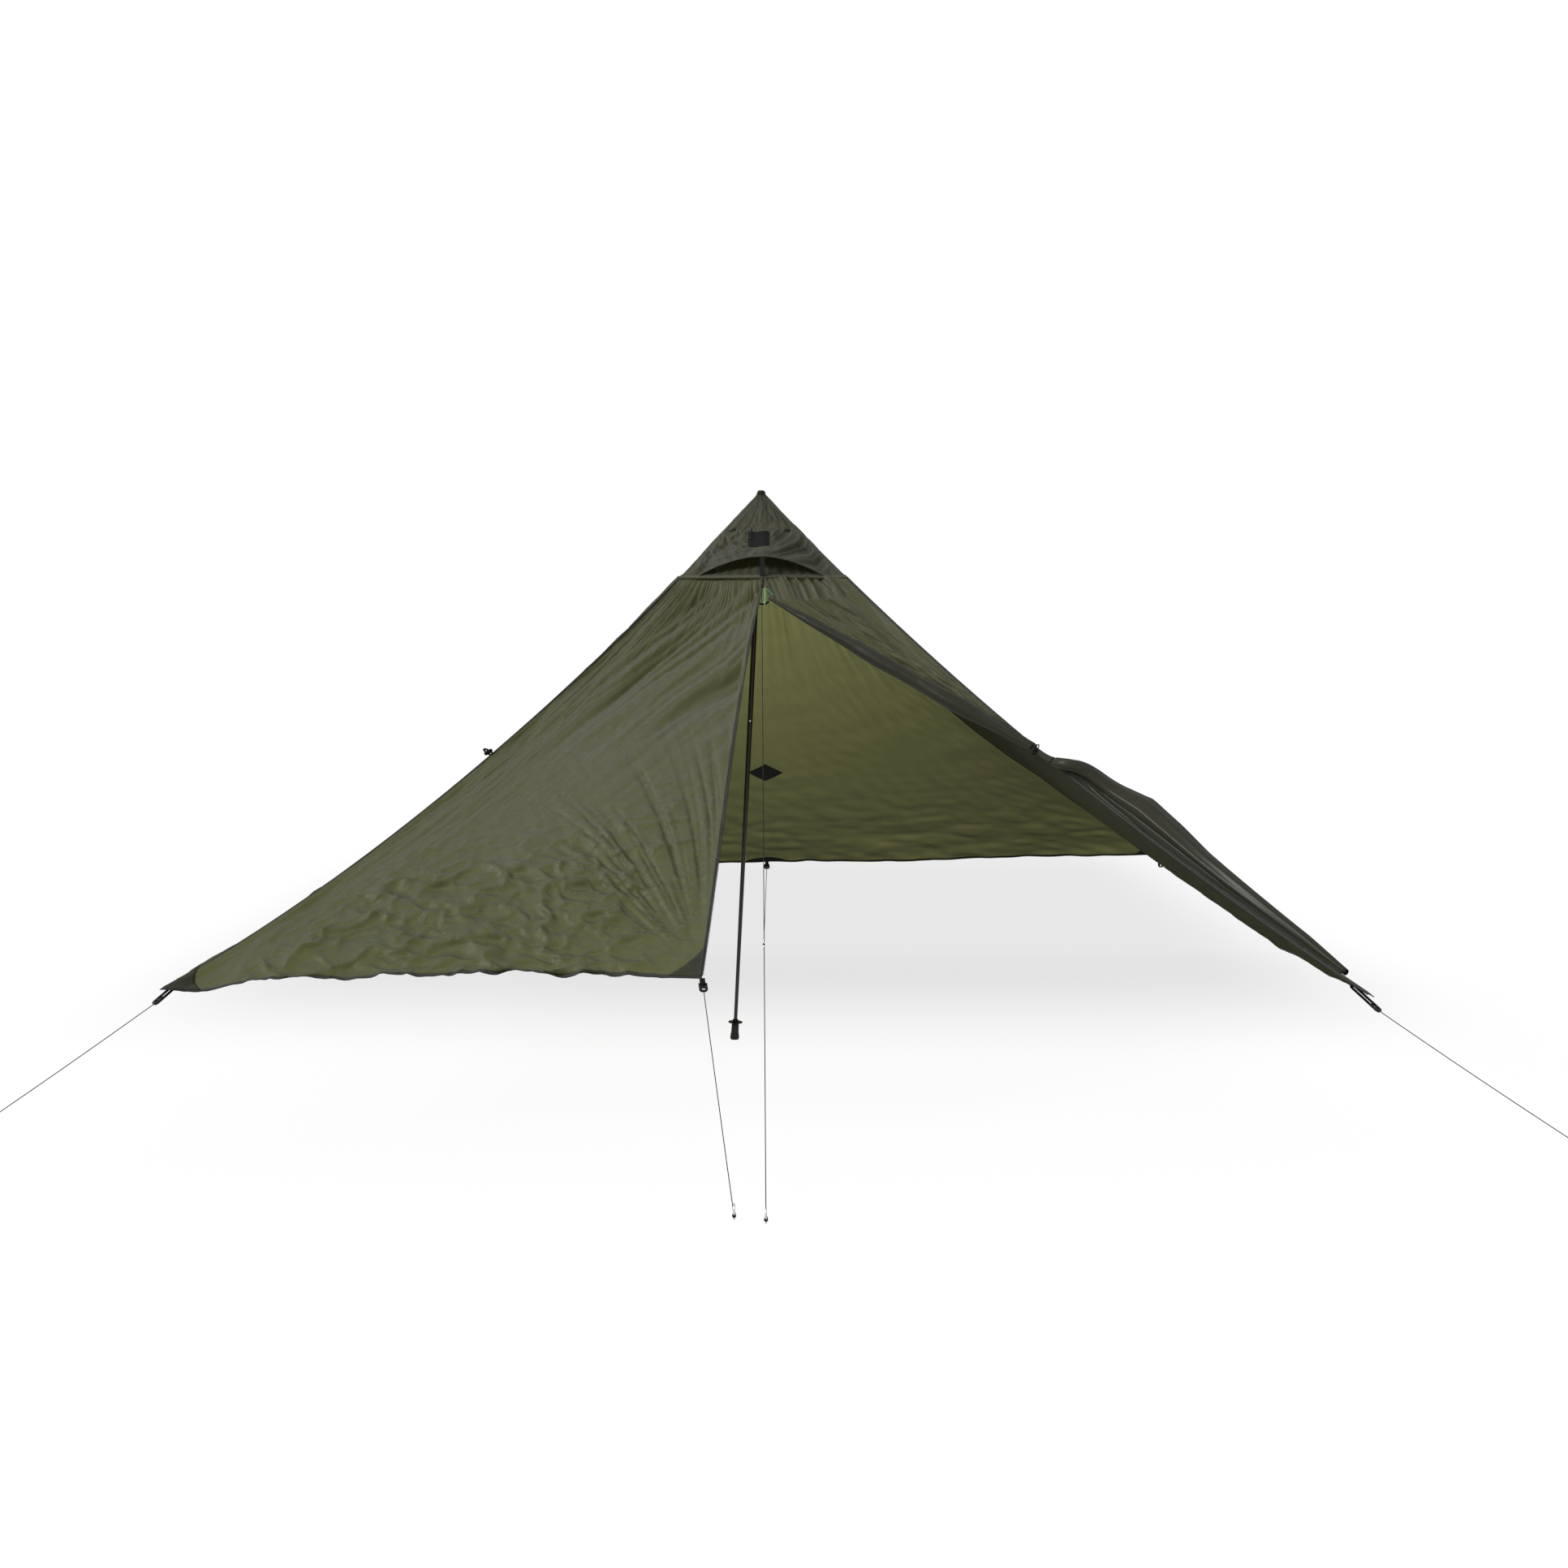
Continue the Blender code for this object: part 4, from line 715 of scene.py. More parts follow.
def ripstop(graph, colours, colour, creased, gloss, rough=0.40, through=None):
    """Thin woven nylon with a grid of thicker threads, and the fine creases of packed cloth."""
    at = graph.place()
    x, y, _ = graph.split(at)
    threads = line_grid(x, y, RIPSTOP_PITCH, 0.42)
    cloud = graph.noise(at, 3.5, 4.0, 0.6)
    mottle = graph.noise(at, 60.0, 3.0, 0.6)
    tone = (cloud * 0.45 + mottle * 0.35 + threads * 0.16).clamped()
    upper = scaled(colour, 1.25) if through else colour
    # Painted sheen: the colour is greyer high on each panel, and from 0.85 m to 1.4 m down it turns more
    # saturated and a little darker
    lower = (upper[0] * 0.87, upper[1] * 0.92, upper[2] * 0.72)
    down = ((y - 0.85) / 0.55).clamped()
    dark, pale = (graph.colour(down, scaled(upper, share), scaled(lower, share)) for share in (0.74, 1.32))
    facing = graph.add("ShaderNodeLayerWeight", {}, {"Blend": 0.5}, out=1)
    weave = ribs(x, THREAD_PITCH) * ribs(y, THREAD_PITCH)
    fine = graph.bump(weave * 0.08 + threads * 0.4, 0.00015, 0.5 * creased)
    crumple = graph.noise(at, 30.0, 5.0, 0.62)
    broad = graph.noise(at, 11.0, 3.0, 0.5)
    height = abs(crumple - 0.5) * (-1.2) + abs(broad - 0.5) * (-1.0)
    graph.set(Base_Color=graph.colour(tone, dark, pale), Specular_IOR_Level=gloss,
              Roughness=(rough + (cloud - 0.5) * 0.20 + facing * facing * facing * 0.7).clamped(),
              Normal=graph.bump(height, 0.007 * creased, 0.70, fine))
    if through:
        faced = 1.0 - facing
        share = graph.sum("MINIMUM", faced * faced * faced * through + 0.02, 0.60)
        graph.let_through(colours.glow, share)


def olive_outside(graph, colours):
    ripstop(graph, colours, colours.olive, 1.0, 0.28, rough=0.42, through=1.00)


def peak_cloth(graph, colours):
    ripstop(graph, colours, scaled(colours.olive, 0.72), 1.2, 0.20, rough=0.45, through=0.75)


def wall_cloth(graph, colours):
    ripstop(graph, colours, scaled(colours.olive, 0.92), 0.3, 0.05, rough=0.50, through=1.55)


def olive_rolled(graph, colours):
    ripstop(graph, colours, colours.rolled, 0.05, 0.08, rough=0.32)


def vent_cloth(graph, colours):
    ripstop(graph, colours, scaled(colours.olive, 0.8), 0.6, 0.05, through=0.25)


def sewn_seam(graph, colours):
    """Felled strip of the cloth with its two rows of dark stitches."""
    at = graph.place()
    x, y, _ = graph.split(at)
    rows = abs(abs(x - 0.0276) / 0.0090 - 0.70) > 0.11
    dashes = abs((y / STITCH_PITCH).fraction() - 0.5) > 0.34
    thread = (1.0 - rows) * (1.0 - dashes)
    pucker = graph.noise(at, 1.0, 3.0, 0.6, (60.0, 330.0, 1.0))
    # Painted shade: the seam's tone follows its puckers, lighter on their crests and darker in their
    # hollows
    tone = graph.colour(pucker, colours.olive, scaled(colours.olive, 2.3))
    graph.set(Base_Color=graph.colour(thread, tone, scaled(colours.webbing, 1.2)),
              Roughness=0.5 + pucker * 0.1, Specular_IOR_Level=0.08,
              Normal=graph.bump(pucker - thread * 0.3, 0.0016, 0.9))


def trim_tape(graph, colours):
    """Ribbed binding tape with its rows of stitches."""
    at = graph.place()
    _, y, _ = graph.split(at)
    wear = graph.noise(at, 90.0, 4.0, 0.6)
    stitch = abs((y / STITCH_PITCH).fraction() - 0.5) > 0.16
    tone = (wear * 0.7 + stitch * 0.12).clamped()
    graph.set(Base_Color=graph.colour(tone, scaled(colours.trim, 0.7), scaled(colours.trim, 1.7)),
              Roughness=0.62 + wear * 0.15, Specular_IOR_Level=0.08,
              Normal=graph.bump(ribs(y, 0.0016) * 0.5 + wear, 0.0004, 0.6))


def patch_cloth(graph, colours):
    """Doubled cloth of the corners, with a fine square weave."""
    at = graph.place()
    x, y, _ = graph.split(at)
    squares = line_grid(x, y, 0.004, 0.36)
    wear = graph.noise(at, 40.0, 4.0, 0.6)
    tone = (wear * 0.6 + squares * 0.35).clamped()
    dark = (colours.trim[0] * 0.8, colours.trim[1] * 0.83, colours.trim[2] * 0.66)
    graph.set(Base_Color=graph.colour(tone, scaled(dark, 0.75), scaled(dark, 2.0)),
              Roughness=0.65 + wear * 0.15, Specular_IOR_Level=0.03,
              Normal=graph.bump(squares * 0.4 + wear, 0.0008, 0.6))


def webbing(graph, colours):
    at = graph.place()
    x, y, _ = graph.split(at)
    weave = ribs(y, 0.0018) * 0.5 + ribs(x, 0.0024) * 0.3
    fuzz = graph.noise(at, 700.0, 2.0, 0.6)
    graph.set(Base_Color=graph.colour(fuzz, scaled(colours.webbing, 0.7), scaled(colours.webbing, 2.2)),
              Roughness=0.78 + fuzz * 0.12, Specular_IOR_Level=0.02,
              Normal=graph.bump(weave + fuzz * 0.5, 0.0004, 0.7))


def diamond_weave(graph, colours):
    """Black doubled patch with the light square grid of its coarser threads."""
    at = graph.place()
    x, y, _ = graph.split(at)
    squares = line_grid(x, y, 0.0075, 0.38)
    fuzz = graph.noise(at, 300.0, 2.0, 0.6)
    tone = (squares * 0.8 + fuzz * 0.2).clamped()
    graph.set(Base_Color=graph.colour(tone, scaled(colours.webbing, 0.8), (0.070, 0.072, 0.055)),
              Roughness=0.6 + fuzz * 0.1, Specular_IOR_Level=0.06,
              Normal=graph.bump(squares * 0.5 + fuzz, 0.0005, 0.6))


def braided(graph, colour, fleck, share):
    """Braided cord, with the flecks of its tracer threads."""
    at = graph.object_place()
    x, y, z = graph.split(at)
    turn = ((x + y * 1.3 - z * 1.1) * 2600.0).wave()
    back = ((x - y * 1.3 + z * 1.1) * 2600.0).wave()
    knit = turn * back
    flecks = (graph.noise(at, 300.0, 1.0) > (1.0 - share)) * (turn > 0.2)
    fuzz = graph.noise(at, 900.0, 2.0)
    # Partly painted shade: the knit makes the cord lighter where its strands stand up and darker between
    # them; the fuzz is a tone of the cord's own
    body = graph.colour((fuzz * 0.6 + knit * 0.3).clamped(), scaled(colour, 0.6), scaled(colour, 1.5))
    graph.set(Base_Color=graph.colour(flecks, body, fleck), Roughness=0.62 + fuzz * 0.12,
              Specular_IOR_Level=0.15, Normal=graph.bump(knit + fuzz * 0.4, 0.0003, 0.7))


def guy_cord(graph, colours):
    braided(graph, colours.cord, (0.10, 0.11, 0.08), 0.30)


def pull_cord(graph, colours):
    braided(graph, colours.pull, (0.55, 0.80, 0.60), 0.45)


def moulded(graph, colours):
    """Moulded black plastic with a fine spark texture and rubbed edges."""
    at = graph.object_place()
    spark = graph.noise(at, 1400.0, 3.0, 0.6)
    rubbed = graph.noise(at, 160.0, 4.0, 0.65)
    dark, pale = scaled(colours.webbing, 0.8), scaled(colours.webbing, 2.0)
    graph.set(Base_Color=graph.colour(rubbed, dark, pale), Roughness=0.34 + rubbed * 0.22,
              Specular_IOR_Level=0.1, Normal=graph.bump(spark, 0.00012, 0.5))


def anodised(graph, colours):
    """Dark drawn tube with fine lines along it and light rub marks."""
    at = graph.object_place()
    lines = graph.noise(at, 1.0, 3.0, 0.6, (1500.0, 1500.0, 14.0))
    rub = graph.noise(at, 34.0, 5.0, 0.65)
    graph.set(Base_Color=graph.colour(rub, (0.020, 0.019, 0.018), (0.050, 0.044, 0.038)),
              Metallic=0.7, Roughness=0.24 + lines * 0.16, Normal=graph.bump(lines, 0.00008, 0.4))


def bright_metal(graph, colours):
    at = graph.object_place()
    brushed = graph.noise(at, 1.0, 3.0, 0.6, (900.0, 900.0, 60.0))
    stain = graph.noise(at, 60.0, 4.0, 0.6)
    graph.set(Base_Color=graph.colour(stain, (0.42, 0.42, 0.43), (0.66, 0.66, 0.67)), Metallic=1.0,
              Roughness=0.26 + brushed * 0.20, Normal=graph.bump(brushed, 0.00008, 0.4))


def rubber(graph, colours):
    at = graph.object_place()
    dust = graph.noise(at, 90.0, 5.0, 0.65)
    graph.set(Base_Color=graph.colour(dust, (0.012, 0.012, 0.011), (0.040, 0.038, 0.034)),
              Roughness=0.62 + dust * 0.2, Normal=graph.bump(dust, 0.0003, 0.5))


def foam(graph, colours):
    at = graph.object_place()
    cells = graph.noise(at, 900.0, 2.0, 0.5)
    soil = graph.noise(at, 30.0, 4.0, 0.6)
    graph.set(Base_Color=graph.colour(soil, (0.014, 0.014, 0.014), (0.034, 0.033, 0.031)),
              Roughness=0.88, Normal=graph.bump(cells, 0.0004, 0.8))


FINISHES = {
    "olive_ripstop": olive_outside,
    "peak_cloth": peak_cloth,
    "wall_cloth": wall_cloth,
    "olive_rolled": olive_rolled,
    "vent_cloth": vent_cloth,
    "sewn_seam": sewn_seam,
    "trim_tape": trim_tape,
    "patch_cloth": patch_cloth,
    "webbing": webbing,
    "diamond_weave": diamond_weave,
    "guy_cord": guy_cord,
    "pull_cord": pull_cord,
    "moulded_plastic": moulded,
    "anodised_tube": anodised,
    "bright_metal": bright_metal,
    "rubber": rubber,
    "grip_foam": foam,
}


def finish(name):
    """The material of that finish, made on its first use."""
    material = bpy.data.materials.get("finish_" + name)
    if material is None:
        material = bpy.data.materials.new("finish_" + name)
        FINISHES[name](Graph(material), bpy.context.scene.tarp_colours)
    return material


def node_object(name):
    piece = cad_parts[name]
    return bpy.data.objects[piece] if isinstance(piece, str) else piece


def refinish(node, name):
    """Gives a CAD node that stays its finish, and one shading on all its faces."""
    piece = node_object(node)
    for held in piece.material_slots:
        held.material = finish(name)
    smooth_faces = piece.data.polygons[0].use_smooth
    for polygon in piece.data.polygons:
        polygon.use_smooth = smooth_faces


# Wrinkles, as heights off each panel

def edge_fade(panel, width=0.05):
    """0 on the two ridges, 1 away from them."""
    return smooth(np.minimum(panel.u, 1.0 - panel.u), 0.0, width)


def ridge_puckers(panel, seed, left_depth, right_depth):
    """Short pulls that run off the two ridge seams, the first at u = 0."""
    total = 0.0
    for away, turn, depth in ((panel.u, seed, left_depth), (1.0 - panel.u, seed + 2.0, right_depth)):
        slant = panel.v * 34.0 - away * 26.0
        pull = grain(slant * 0.45, away * 5.0, turn, 2) * depth
        total = total + pull * np.exp(-away / 0.13) * smooth(away, 0.0, 0.03)
    return total


def wall_wrinkles(panel, seed, depth):
    x = panel.u * panel.width
    y = panel.v * WALL_SLOPE
    slack = creases(x * 3.2, y * 5.2, seed + 2.0, 3) * smooth(panel.v, 0.55, 0.95) * 0.006
    slack = slack + facets(x, y, seed, 7, 0.160, 0.050) * (0.0020 + 0.0040 * smooth(panel.v, 0.5, 0.9))
    drape = grain(x * 1.4, y * 1.1, seed + 5.0, 2) * 0.004
    height = creases(panel.u * 22.0, panel.v * 1.3, seed, 2) * 0.006 * np.exp(-panel.v / 0.18)
    height += ridge_puckers(panel, seed + 1.0, 0.005, 0.005)
    hem = grain(x * 1.9, 0.0, seed + 8.0, 1) * 0.018 * smooth(panel.v, 0.86, 1.0)
    return (height + drape + slack) * depth * edge_fade(panel) + hem * edge_fade(panel, 0.03)


def door_wrinkles(panel, flat):
    """Shut door: pulls down from the zip edge, a fan from its foot and a crumpled lower third."""
    x, z = flat[..., 0], flat[..., 2]
    foot = flat[-1, -1]
    bend = grain(x * 2.2, z * 2.2, 12.0, 2) * 0.045
    slant, along = 0.78 * z - 0.62 * x + 0.35 * bend, 0.62 * z + 0.78 * x
    low = smooth(panel.v + grain(x * 2.6, 0.0, 14.0, 2) * 0.08 - 0.10 * (1.0 - panel.u), 0.50, 0.74)
    strong = smooth(panel.u, 0.12, 0.45) * (1.0 - smooth(panel.v, 0.26, 0.48))
    pulls = creases(slant * 9.0, along * 0.7, 3.1, 2) ** 1.5 * -0.0300 * strong
    pulls -= creases(slant * 21.0, along * 1.4, 5.3, 2) * 0.0070 * (0.22 + 0.78 * strong) * (1.0 - low)
    drape = grain(slant * 3.2, along, 21.0, 2) * 0.0080
    crinkle = facets(x, z, 2.0, 7, 0.060, 0.018) * 0.0024
    top = creases(panel.u * 15.0, panel.v * 1.2, 4.7, 2) * 0.0060 * np.exp(-panel.v / 0.12)
    reach = np.hypot(x - foot[0], (z - foot[2]) * 1.15)
    angle = np.arctan2(z - foot[2], foot[0] - x) + 0.35 * reach + bend * 0.6
    fan = creases(angle * 8.5, reach * 0.7, 9.2, 2) ** 2.0 * -0.0105
    fan *= smooth(reach, 0.03, 0.20) * (1.0 - smooth(reach, 0.34, 0.74)) * smooth(angle, 0.50, 0.90)
    crumple = facets(x, z * 1.45, 6.4, 9, 0.120, 0.030) * 0.0085
    crumple += creases(x * 5.6 + z * 2.0 + bend * 8.0, z * 15.0 + bend * 9.0, 6.4, 2) ** 2.0 * 0.0140
    crumple += creases(x * 11.0 - z * 4.0, z * 26.0 + bend * 9.0, 8.4, 2) ** 2.0 * 0.0075
    crumple *= low * smooth(panel.u, 0.02, 0.22) * (1.0 - 0.75 * smooth(panel.u, 0.72, 0.98))
    beside = creases(panel.u * 24.0 + panel.v * 4.0, panel.v * 5.0, 27.0, 2) * -0.0060
    beside *= np.exp(-panel.u / 0.13)
    pucker = ridge_puckers(panel, 17.0, 0.0050, 0.0045)
    hem = grain(x * 5.0, 0.0, 23.0, 2) * 0.0120 * smooth(panel.v, 0.86, 1.0)
    height = pulls + top + fan + crumple + drape + crinkle + beside + pucker + hem
    return height * edge_fade(panel, 0.04) * smooth(panel.v, -0.01, 0.05)


PANELS = {}


def panel_of(name):
    """The dressed panel of a wall, or of the shut door as front, made on its first use."""
    if name not in PANELS:
        if name == "front":
            PANELS[name] = Panel(door_surface, OUTWARD["front"], 220, 280, door_wrinkles)
        else:
            PANELS[name] = Panel(wall_surface(name), OUTWARD[name], 150, 110,
                                 lambda panel, _: wall_wrinkles(panel, *WALL_FOLDS[name]))
    return PANELS[name]


def hang_panel(name, node):
    panel = panel_of(name)
    cloth = "olive_ripstop" if name == "front" else "wall_cloth"
    piece = cloth_piece(node + "_cloth", panel.points, "plane", cloth, [node],
                        bpy.context.scene.tarp_sizes.cloth)


# Open door

DOOR_TILT = unit((0.0, -0.66, 0.75))
TIE_OUT = unit((-0.25, -0.95, -0.10))


def tie_centre():
    return ridge("front_right", TIE_S) + TIE_OUT * TIE_OFFSET


def roll_radius(q):
    """Radius of the roll: thin at the zip, full in its middle, pinched at the tie."""
    swell = np.sin(math.pi * np.minimum(1.0, q / ROLL_FULL_Q) / 2.0)
    return mix(mix(ROLL_R_START, ROLL_R_MIDDLE, swell), PINCH_R, smooth(q, ROLL_PINCH_Q, 1.0))


def roll_frame():
    """Directions up across the open door and out in front of its roll."""
    along = unit(tie_centre() - ROLL_START)
    up = unit(np.cross(DOOR_TILT, along))
    up = up if up[0] > 0.0 else -up
    front = unit(np.cross(along, up))
    return up, front if front[1] < 0.0 else -front


def roll_points(columns, rows):
    """Spiral of cloth round the roll's axis, its outer layer creased along its length."""
    up, front = roll_frame()
    k, q = np.meshgrid(np.linspace(0.0, 1.0, columns + 1), np.linspace(0.0, ROLL_END, rows + 1))
    angle = 2.0 * math.pi * ROLL_TURNS * k + ROLL_SEAM_ANGLE + 0.9 * q
    outer = np.exp(-k * ROLL_TURNS * 1.2)
    ahead = angle + q * 1.4
    folds = creases(np.cos(ahead) * 1.5, np.sin(ahead) * 1.5 + q * 3.0, 41.0, 2) * 0.0038
    folds *= outer * smooth(q, 0.0, 0.2)
    pinch = np.cos(angle * 9.0 + q * 6.0) * 0.0011 * smooth(q, 0.62, 0.97) * outer
    swell = 1.0 + 0.10 * np.sin(q * 19.0 + 0.6) * smooth(q, 0.1, 0.4) * (1.0 - smooth(q, 0.8, 0.97))
    radius = roll_radius(q) * mix(1.0, ROLL_CORE, k) * swell + folds + pinch - 0.0012
    centre = mix(ROLL_START, tie_centre(), q[..., None])
    return centre + turned(front, -up, angle) * np.maximum(radius, 0.0012)[..., None]


def roll_back_edge(q):
    """Line on the back of the roll where the hanging cloth runs into it."""
    up, front = roll_frame()
    reach = (roll_radius(q) + 0.0003)[..., None]
    return mix(ROLL_START, tie_centre(), q[..., None]) - front * reach + up * (0.0022 + 0.18 * reach)


def open_panel_points(columns, rows):
    """Cloth of the open door that still hangs between its ridge and the roll, in soft pleats."""
    up, _ = roll_frame()
    top_s = seam_share(lambda s: ridge("front_right", s))
    seam_s = seam_share(zip_line)
    w, u = np.meshgrid(np.linspace(0.0, 1.0, columns + 1), np.linspace(0.0, 1.0, rows + 1))
    at_ridge = ridge("front_right", mix(top_s, PANEL_END_S, u)) - up * EDGE_INSET
    on_zip = zip_line(mix(seam_s, ZIP_FREE_S, u / PANEL_ZIP_SHARE)) + RIGHTWARD * EDGE_INSET
    run = np.clip((u - PANEL_ZIP_SHARE) / (1.0 - PANEL_ZIP_SHARE), 0.0, 1.0)
    on_roll = roll_back_edge(PANEL_ROLL_RUN[0] + PANEL_ROLL_RUN[1] * run)
    point = mix(at_ridge, np.where((u < PANEL_ZIP_SHARE)[..., None], on_zip, on_roll), w[..., None])
    hollow = PANEL_HOLLOW * np.sin(math.pi * w) * np.sin(math.pi * np.minimum(1.0, 0.15 + u))
    pleat = PANEL_PLEAT * (1.0 - np.cos(6.0 * math.pi * w)) * np.sin(math.pi * u) ** 0.7
    fan = creases(w * 8.0 + u * 2.4, u * 1.8, 47.0, 2) * 0.0190 * (1.0 - 0.6 * smooth(u, 0.35, 0.95))
    long = grain(w * 7.0 - u * 3.0, u * 1.5, 49.0, 2) * 0.0110
    sink = hollow + pleat + (long - fan * 0.6) * np.sin(math.pi * w) ** 0.5
    return point - DOOR_TILT * sink[..., None]


def flap_frame(q):
    """Ridge point, and the bundle's directions off and across the right wall."""
    s = mix(TIE_S, FLAP_END_S, q)
    along = unit(ridge("front_right", s + 0.01) - ridge("front_right", s - 0.01))
    surface = wall_surface("right")
    wall_off = unit(np.cross(surface(s + 0.002, FLAP_WALL_U) - surface(s - 0.002, FLAP_WALL_U),
                             surface(s, FLAP_WALL_U + 0.001) - surface(s, FLAP_WALL_U - 0.001)))
    wall_off = wall_off if wall_off.dot(OUTWARD["right"]) > 0.0 else -wall_off
    off = mix(TIE_OUT, wall_off, smooth(q, 0.0, FLAP_LAID_Q))
    off = unit(off - along * off.dot(along))
    across = unit(np.cross(off, along))
    return ridge("front_right", s), off, across if across[1] > 0.0 else -across


def flap_bundle(q):
    """Ridge point, middle, half height, half width and directions of the bundle at a share."""
    clear = TIE_OFFSET - PINCH_R
    on_ridge, off, across = flap_frame(q)
    high, wide = (float(np.interp(q, FLAP_SIZES[:, 0], FLAP_SIZES[:, k])) for k in (1, 2))
    laid = float(smooth(q, 0.0, FLAP_LAID_Q))
    rise = mix(clear, TAPE_R + FLAP_REST_GAP, laid) + FLAP_TWIST_RISE * laid * (1.0 - laid)
    centre = on_ridge + off * (high + rise) + across * (FLAP_LEAN * wide * laid ** 3)
    return on_ridge, centre, high, wide, off, across


def flap_root_points(columns, rows):
    """Cloth that runs from the ridge seam up into the bundle."""
    w = np.linspace(0.0, 1.0, columns + 1)[:, None]
    rings = []
    for q in 0.02 + 0.975 * np.linspace(0.0, 1.0, rows + 1):
        on_ridge, centre, _, _, off, across = flap_bundle(q)
        ripple = float(grain(q * 40.0, 0.0, 67.0, 2)) * 0.003
        start = on_ridge + off * 0.0020 - across * 0.0010
        rings.append(mix(start, centre, w) - across * ((0.004 + ripple) * np.sin(math.pi * w)))
    return np.stack(rings)


def flap_points(columns, rows):
    """Bundle past the tie, laid back over the ridge: fine folds at the tie, one long crease."""
    k = np.linspace(0.0, 1.0, columns + 1)
    angle = 2.0 * math.pi * FLAP_TURNS * k + FLAP_SEAM_ANGLE
    outer = np.exp(-k * FLAP_TURNS)
    rings = []
    for q in mix(FLAP_START, 1.0, np.linspace(0.0, 1.0, rows + 1) ** 1.15):
        _, centre, high, wide, off, across = flap_bundle(q)
        fan = np.cos(angle * 11.0 + q * 9.0) * 0.11 * float(1.0 - smooth(q, 0.02, 0.24))
        ahead = angle + q * 0.6
        long = creases(np.cos(ahead) * 1.1, np.sin(ahead) * 1.1 + q * 1.6, 63.0, 1) * 0.22
        long = long * float(smooth(q, 0.05, 0.3))
        share = mix(1.0, FLAP_CORE, k) + (fan + long - 0.08) * outer
        share = share * float(0.66 + 0.34 * smooth(q, 0.03, 0.11))
        rings.append(centre + turned(across * wide, off * high, angle) * share[:, None])
    return np.stack(rings)


# Peak

def at_height(line, height):
    return line(share_at(line, height))


def front_base(c, height):
    """Front of the peak at a height: c runs from the left ridge (0) to the right ridge (1)."""
    c, height = np.broadcast_arrays(np.asarray(c, float), np.asarray(height, float))
    middle = at_height(zip_line, height)
    left = at_height(lambda s: ridge("front_left", s), height)
    right = at_height(lambda s: ridge("front_right", s), height)
    share = 2.0 * c[..., None]
    return np.where(share < 1.0, mix(left, middle, share), mix(middle, right, share - 1.0))


def cap_ring(height, side):
    """Points round the peak at a height, side of them on each side, from the front left ridge."""
    u = np.arange(side) / side
    walls = [at_height(lambda s: wall_surface(wall)(s, u), height) for wall in WALLS]
    return np.concatenate([*walls, front_base(1.0 - u, height)])


def cap_points(side):
    """Rings of the cap from its seam to its domed top, with creases that fan from the top."""
    rings = [cap_ring(height, side) for height in np.linspace(SEAM_HEIGHT, DOME_HEIGHT, WALL_RINGS)]
    edge = rings[-1]
    centre = np.array((PEAK_SHIFT, 0.0, DOME_HEIGHT))
    for k in range(1, DOME_RINGS + 1):
        angle = math.radians(90.0 * k / (DOME_RINGS + 0.2))
        rise = UP * DOME_RISE * math.sin(angle)
        rings.append(centre + (edge - centre) * math.cos(angle) ** 0.6 + rise)
    rings = np.stack(rings)
    turn = whole_turn(len(edge))[None, :]
    x, y = np.cos(turn), np.sin(turn)
    level = np.linspace(0.0, 1.0, len(rings))[:, None]
    ripple = 1.0 - 2.0 * creases(x * 6.0, y * 6.0 + level * 3.4, 71.0, 2)
    ripple = ripple + facets(x * 0.30, y * 0.30 + level * 0.25, 3.0, 6, 0.110, 0.040)
    share = np.arange(len(edge)) % side / side
    fade = smooth(np.minimum(share, 1.0 - share), 0.0, 0.15)
    depth = 0.005 * np.sin(math.pi * np.clip(level * 1.25, 0.0, 1.0)) + 0.0012
    away = rings - RIGHTWARD * PEAK_SHIFT
    away[..., 2] = 0.0
    return rings + unit(away) * (ripple * depth * fade - 0.0004)[..., None]


def in_vent(point):
    return point[2] < VENT_TOP - 0.002 and point[1] < -abs(point[0] - PEAK_SHIFT) * 1.005


def brim_arch(x):
    middle = (BRIM_LEFT_X + BRIM_RIGHT_X) / 2.0
    half = (BRIM_RIGHT_X - BRIM_LEFT_X) / 2.0
    return np.maximum(0.0, 1.0 - ((x - middle) / half) ** 2) ** BRIM_ARCH_POWER


def hood_point(c, v):
    """Point on the hood: c from left to right ridge, v from its top down to its brim."""
    gap = 0.001 / (2.0 * abs(BRIM_LEFT_X))
    c, v = np.broadcast_arrays(gap + (1.0 - 2.0 * gap) * np.asarray(c, float), np.asarray(v, float))
    arch = brim_arch(front_base(c, SEAM_HEIGHT)[..., 0])
    bottom = SEAM_HEIGHT + 0.001 + BRIM_RISE * arch
    proud = BRIM_PROUD * arch * v ** BRIM_SWELL_POWER
    forward = np.stack([np.zeros_like(proud), -proud - HOOD_GAP, BRIM_TILT * proud], axis=-1)
    return front_base(c, mix(VENT_TOP + 0.004, bottom, v)) + forward


def hood_points():
    c, v = np.meshgrid(np.linspace(0.0, 1.0, HOOD_COLUMNS + 1), np.linspace(0.0, 1.0, HOOD_ROWS + 1))
    points = hood_point(c, v)
    away = np.abs(c - 0.5)
    pull = creases(c * 4.0 + v * 2.0, v * 5.0 + away * 9.0, 77.0, 2) * 0.0130 - 0.0040
    pull = pull + facets(c * 0.36, v * 0.13, 4.0, 7, 0.090, 0.030) * 0.0040
    beside_patch = smooth(np.abs(c - 0.501), 0.095, 0.150) + smooth(np.abs(v - 0.42), 0.26, 0.42)
    pull = mix(-0.0010 + 0.0030 * np.sin(c * 26.0), pull, np.minimum(1.0, beside_patch))
    fade = np.sin(math.pi * v) ** 0.7 * smooth(np.minimum(c, 1.0 - c), 0.0, 0.08)
    return points + outward_normals(points, OUTWARD["front"]) * (pull * fade)[..., None]


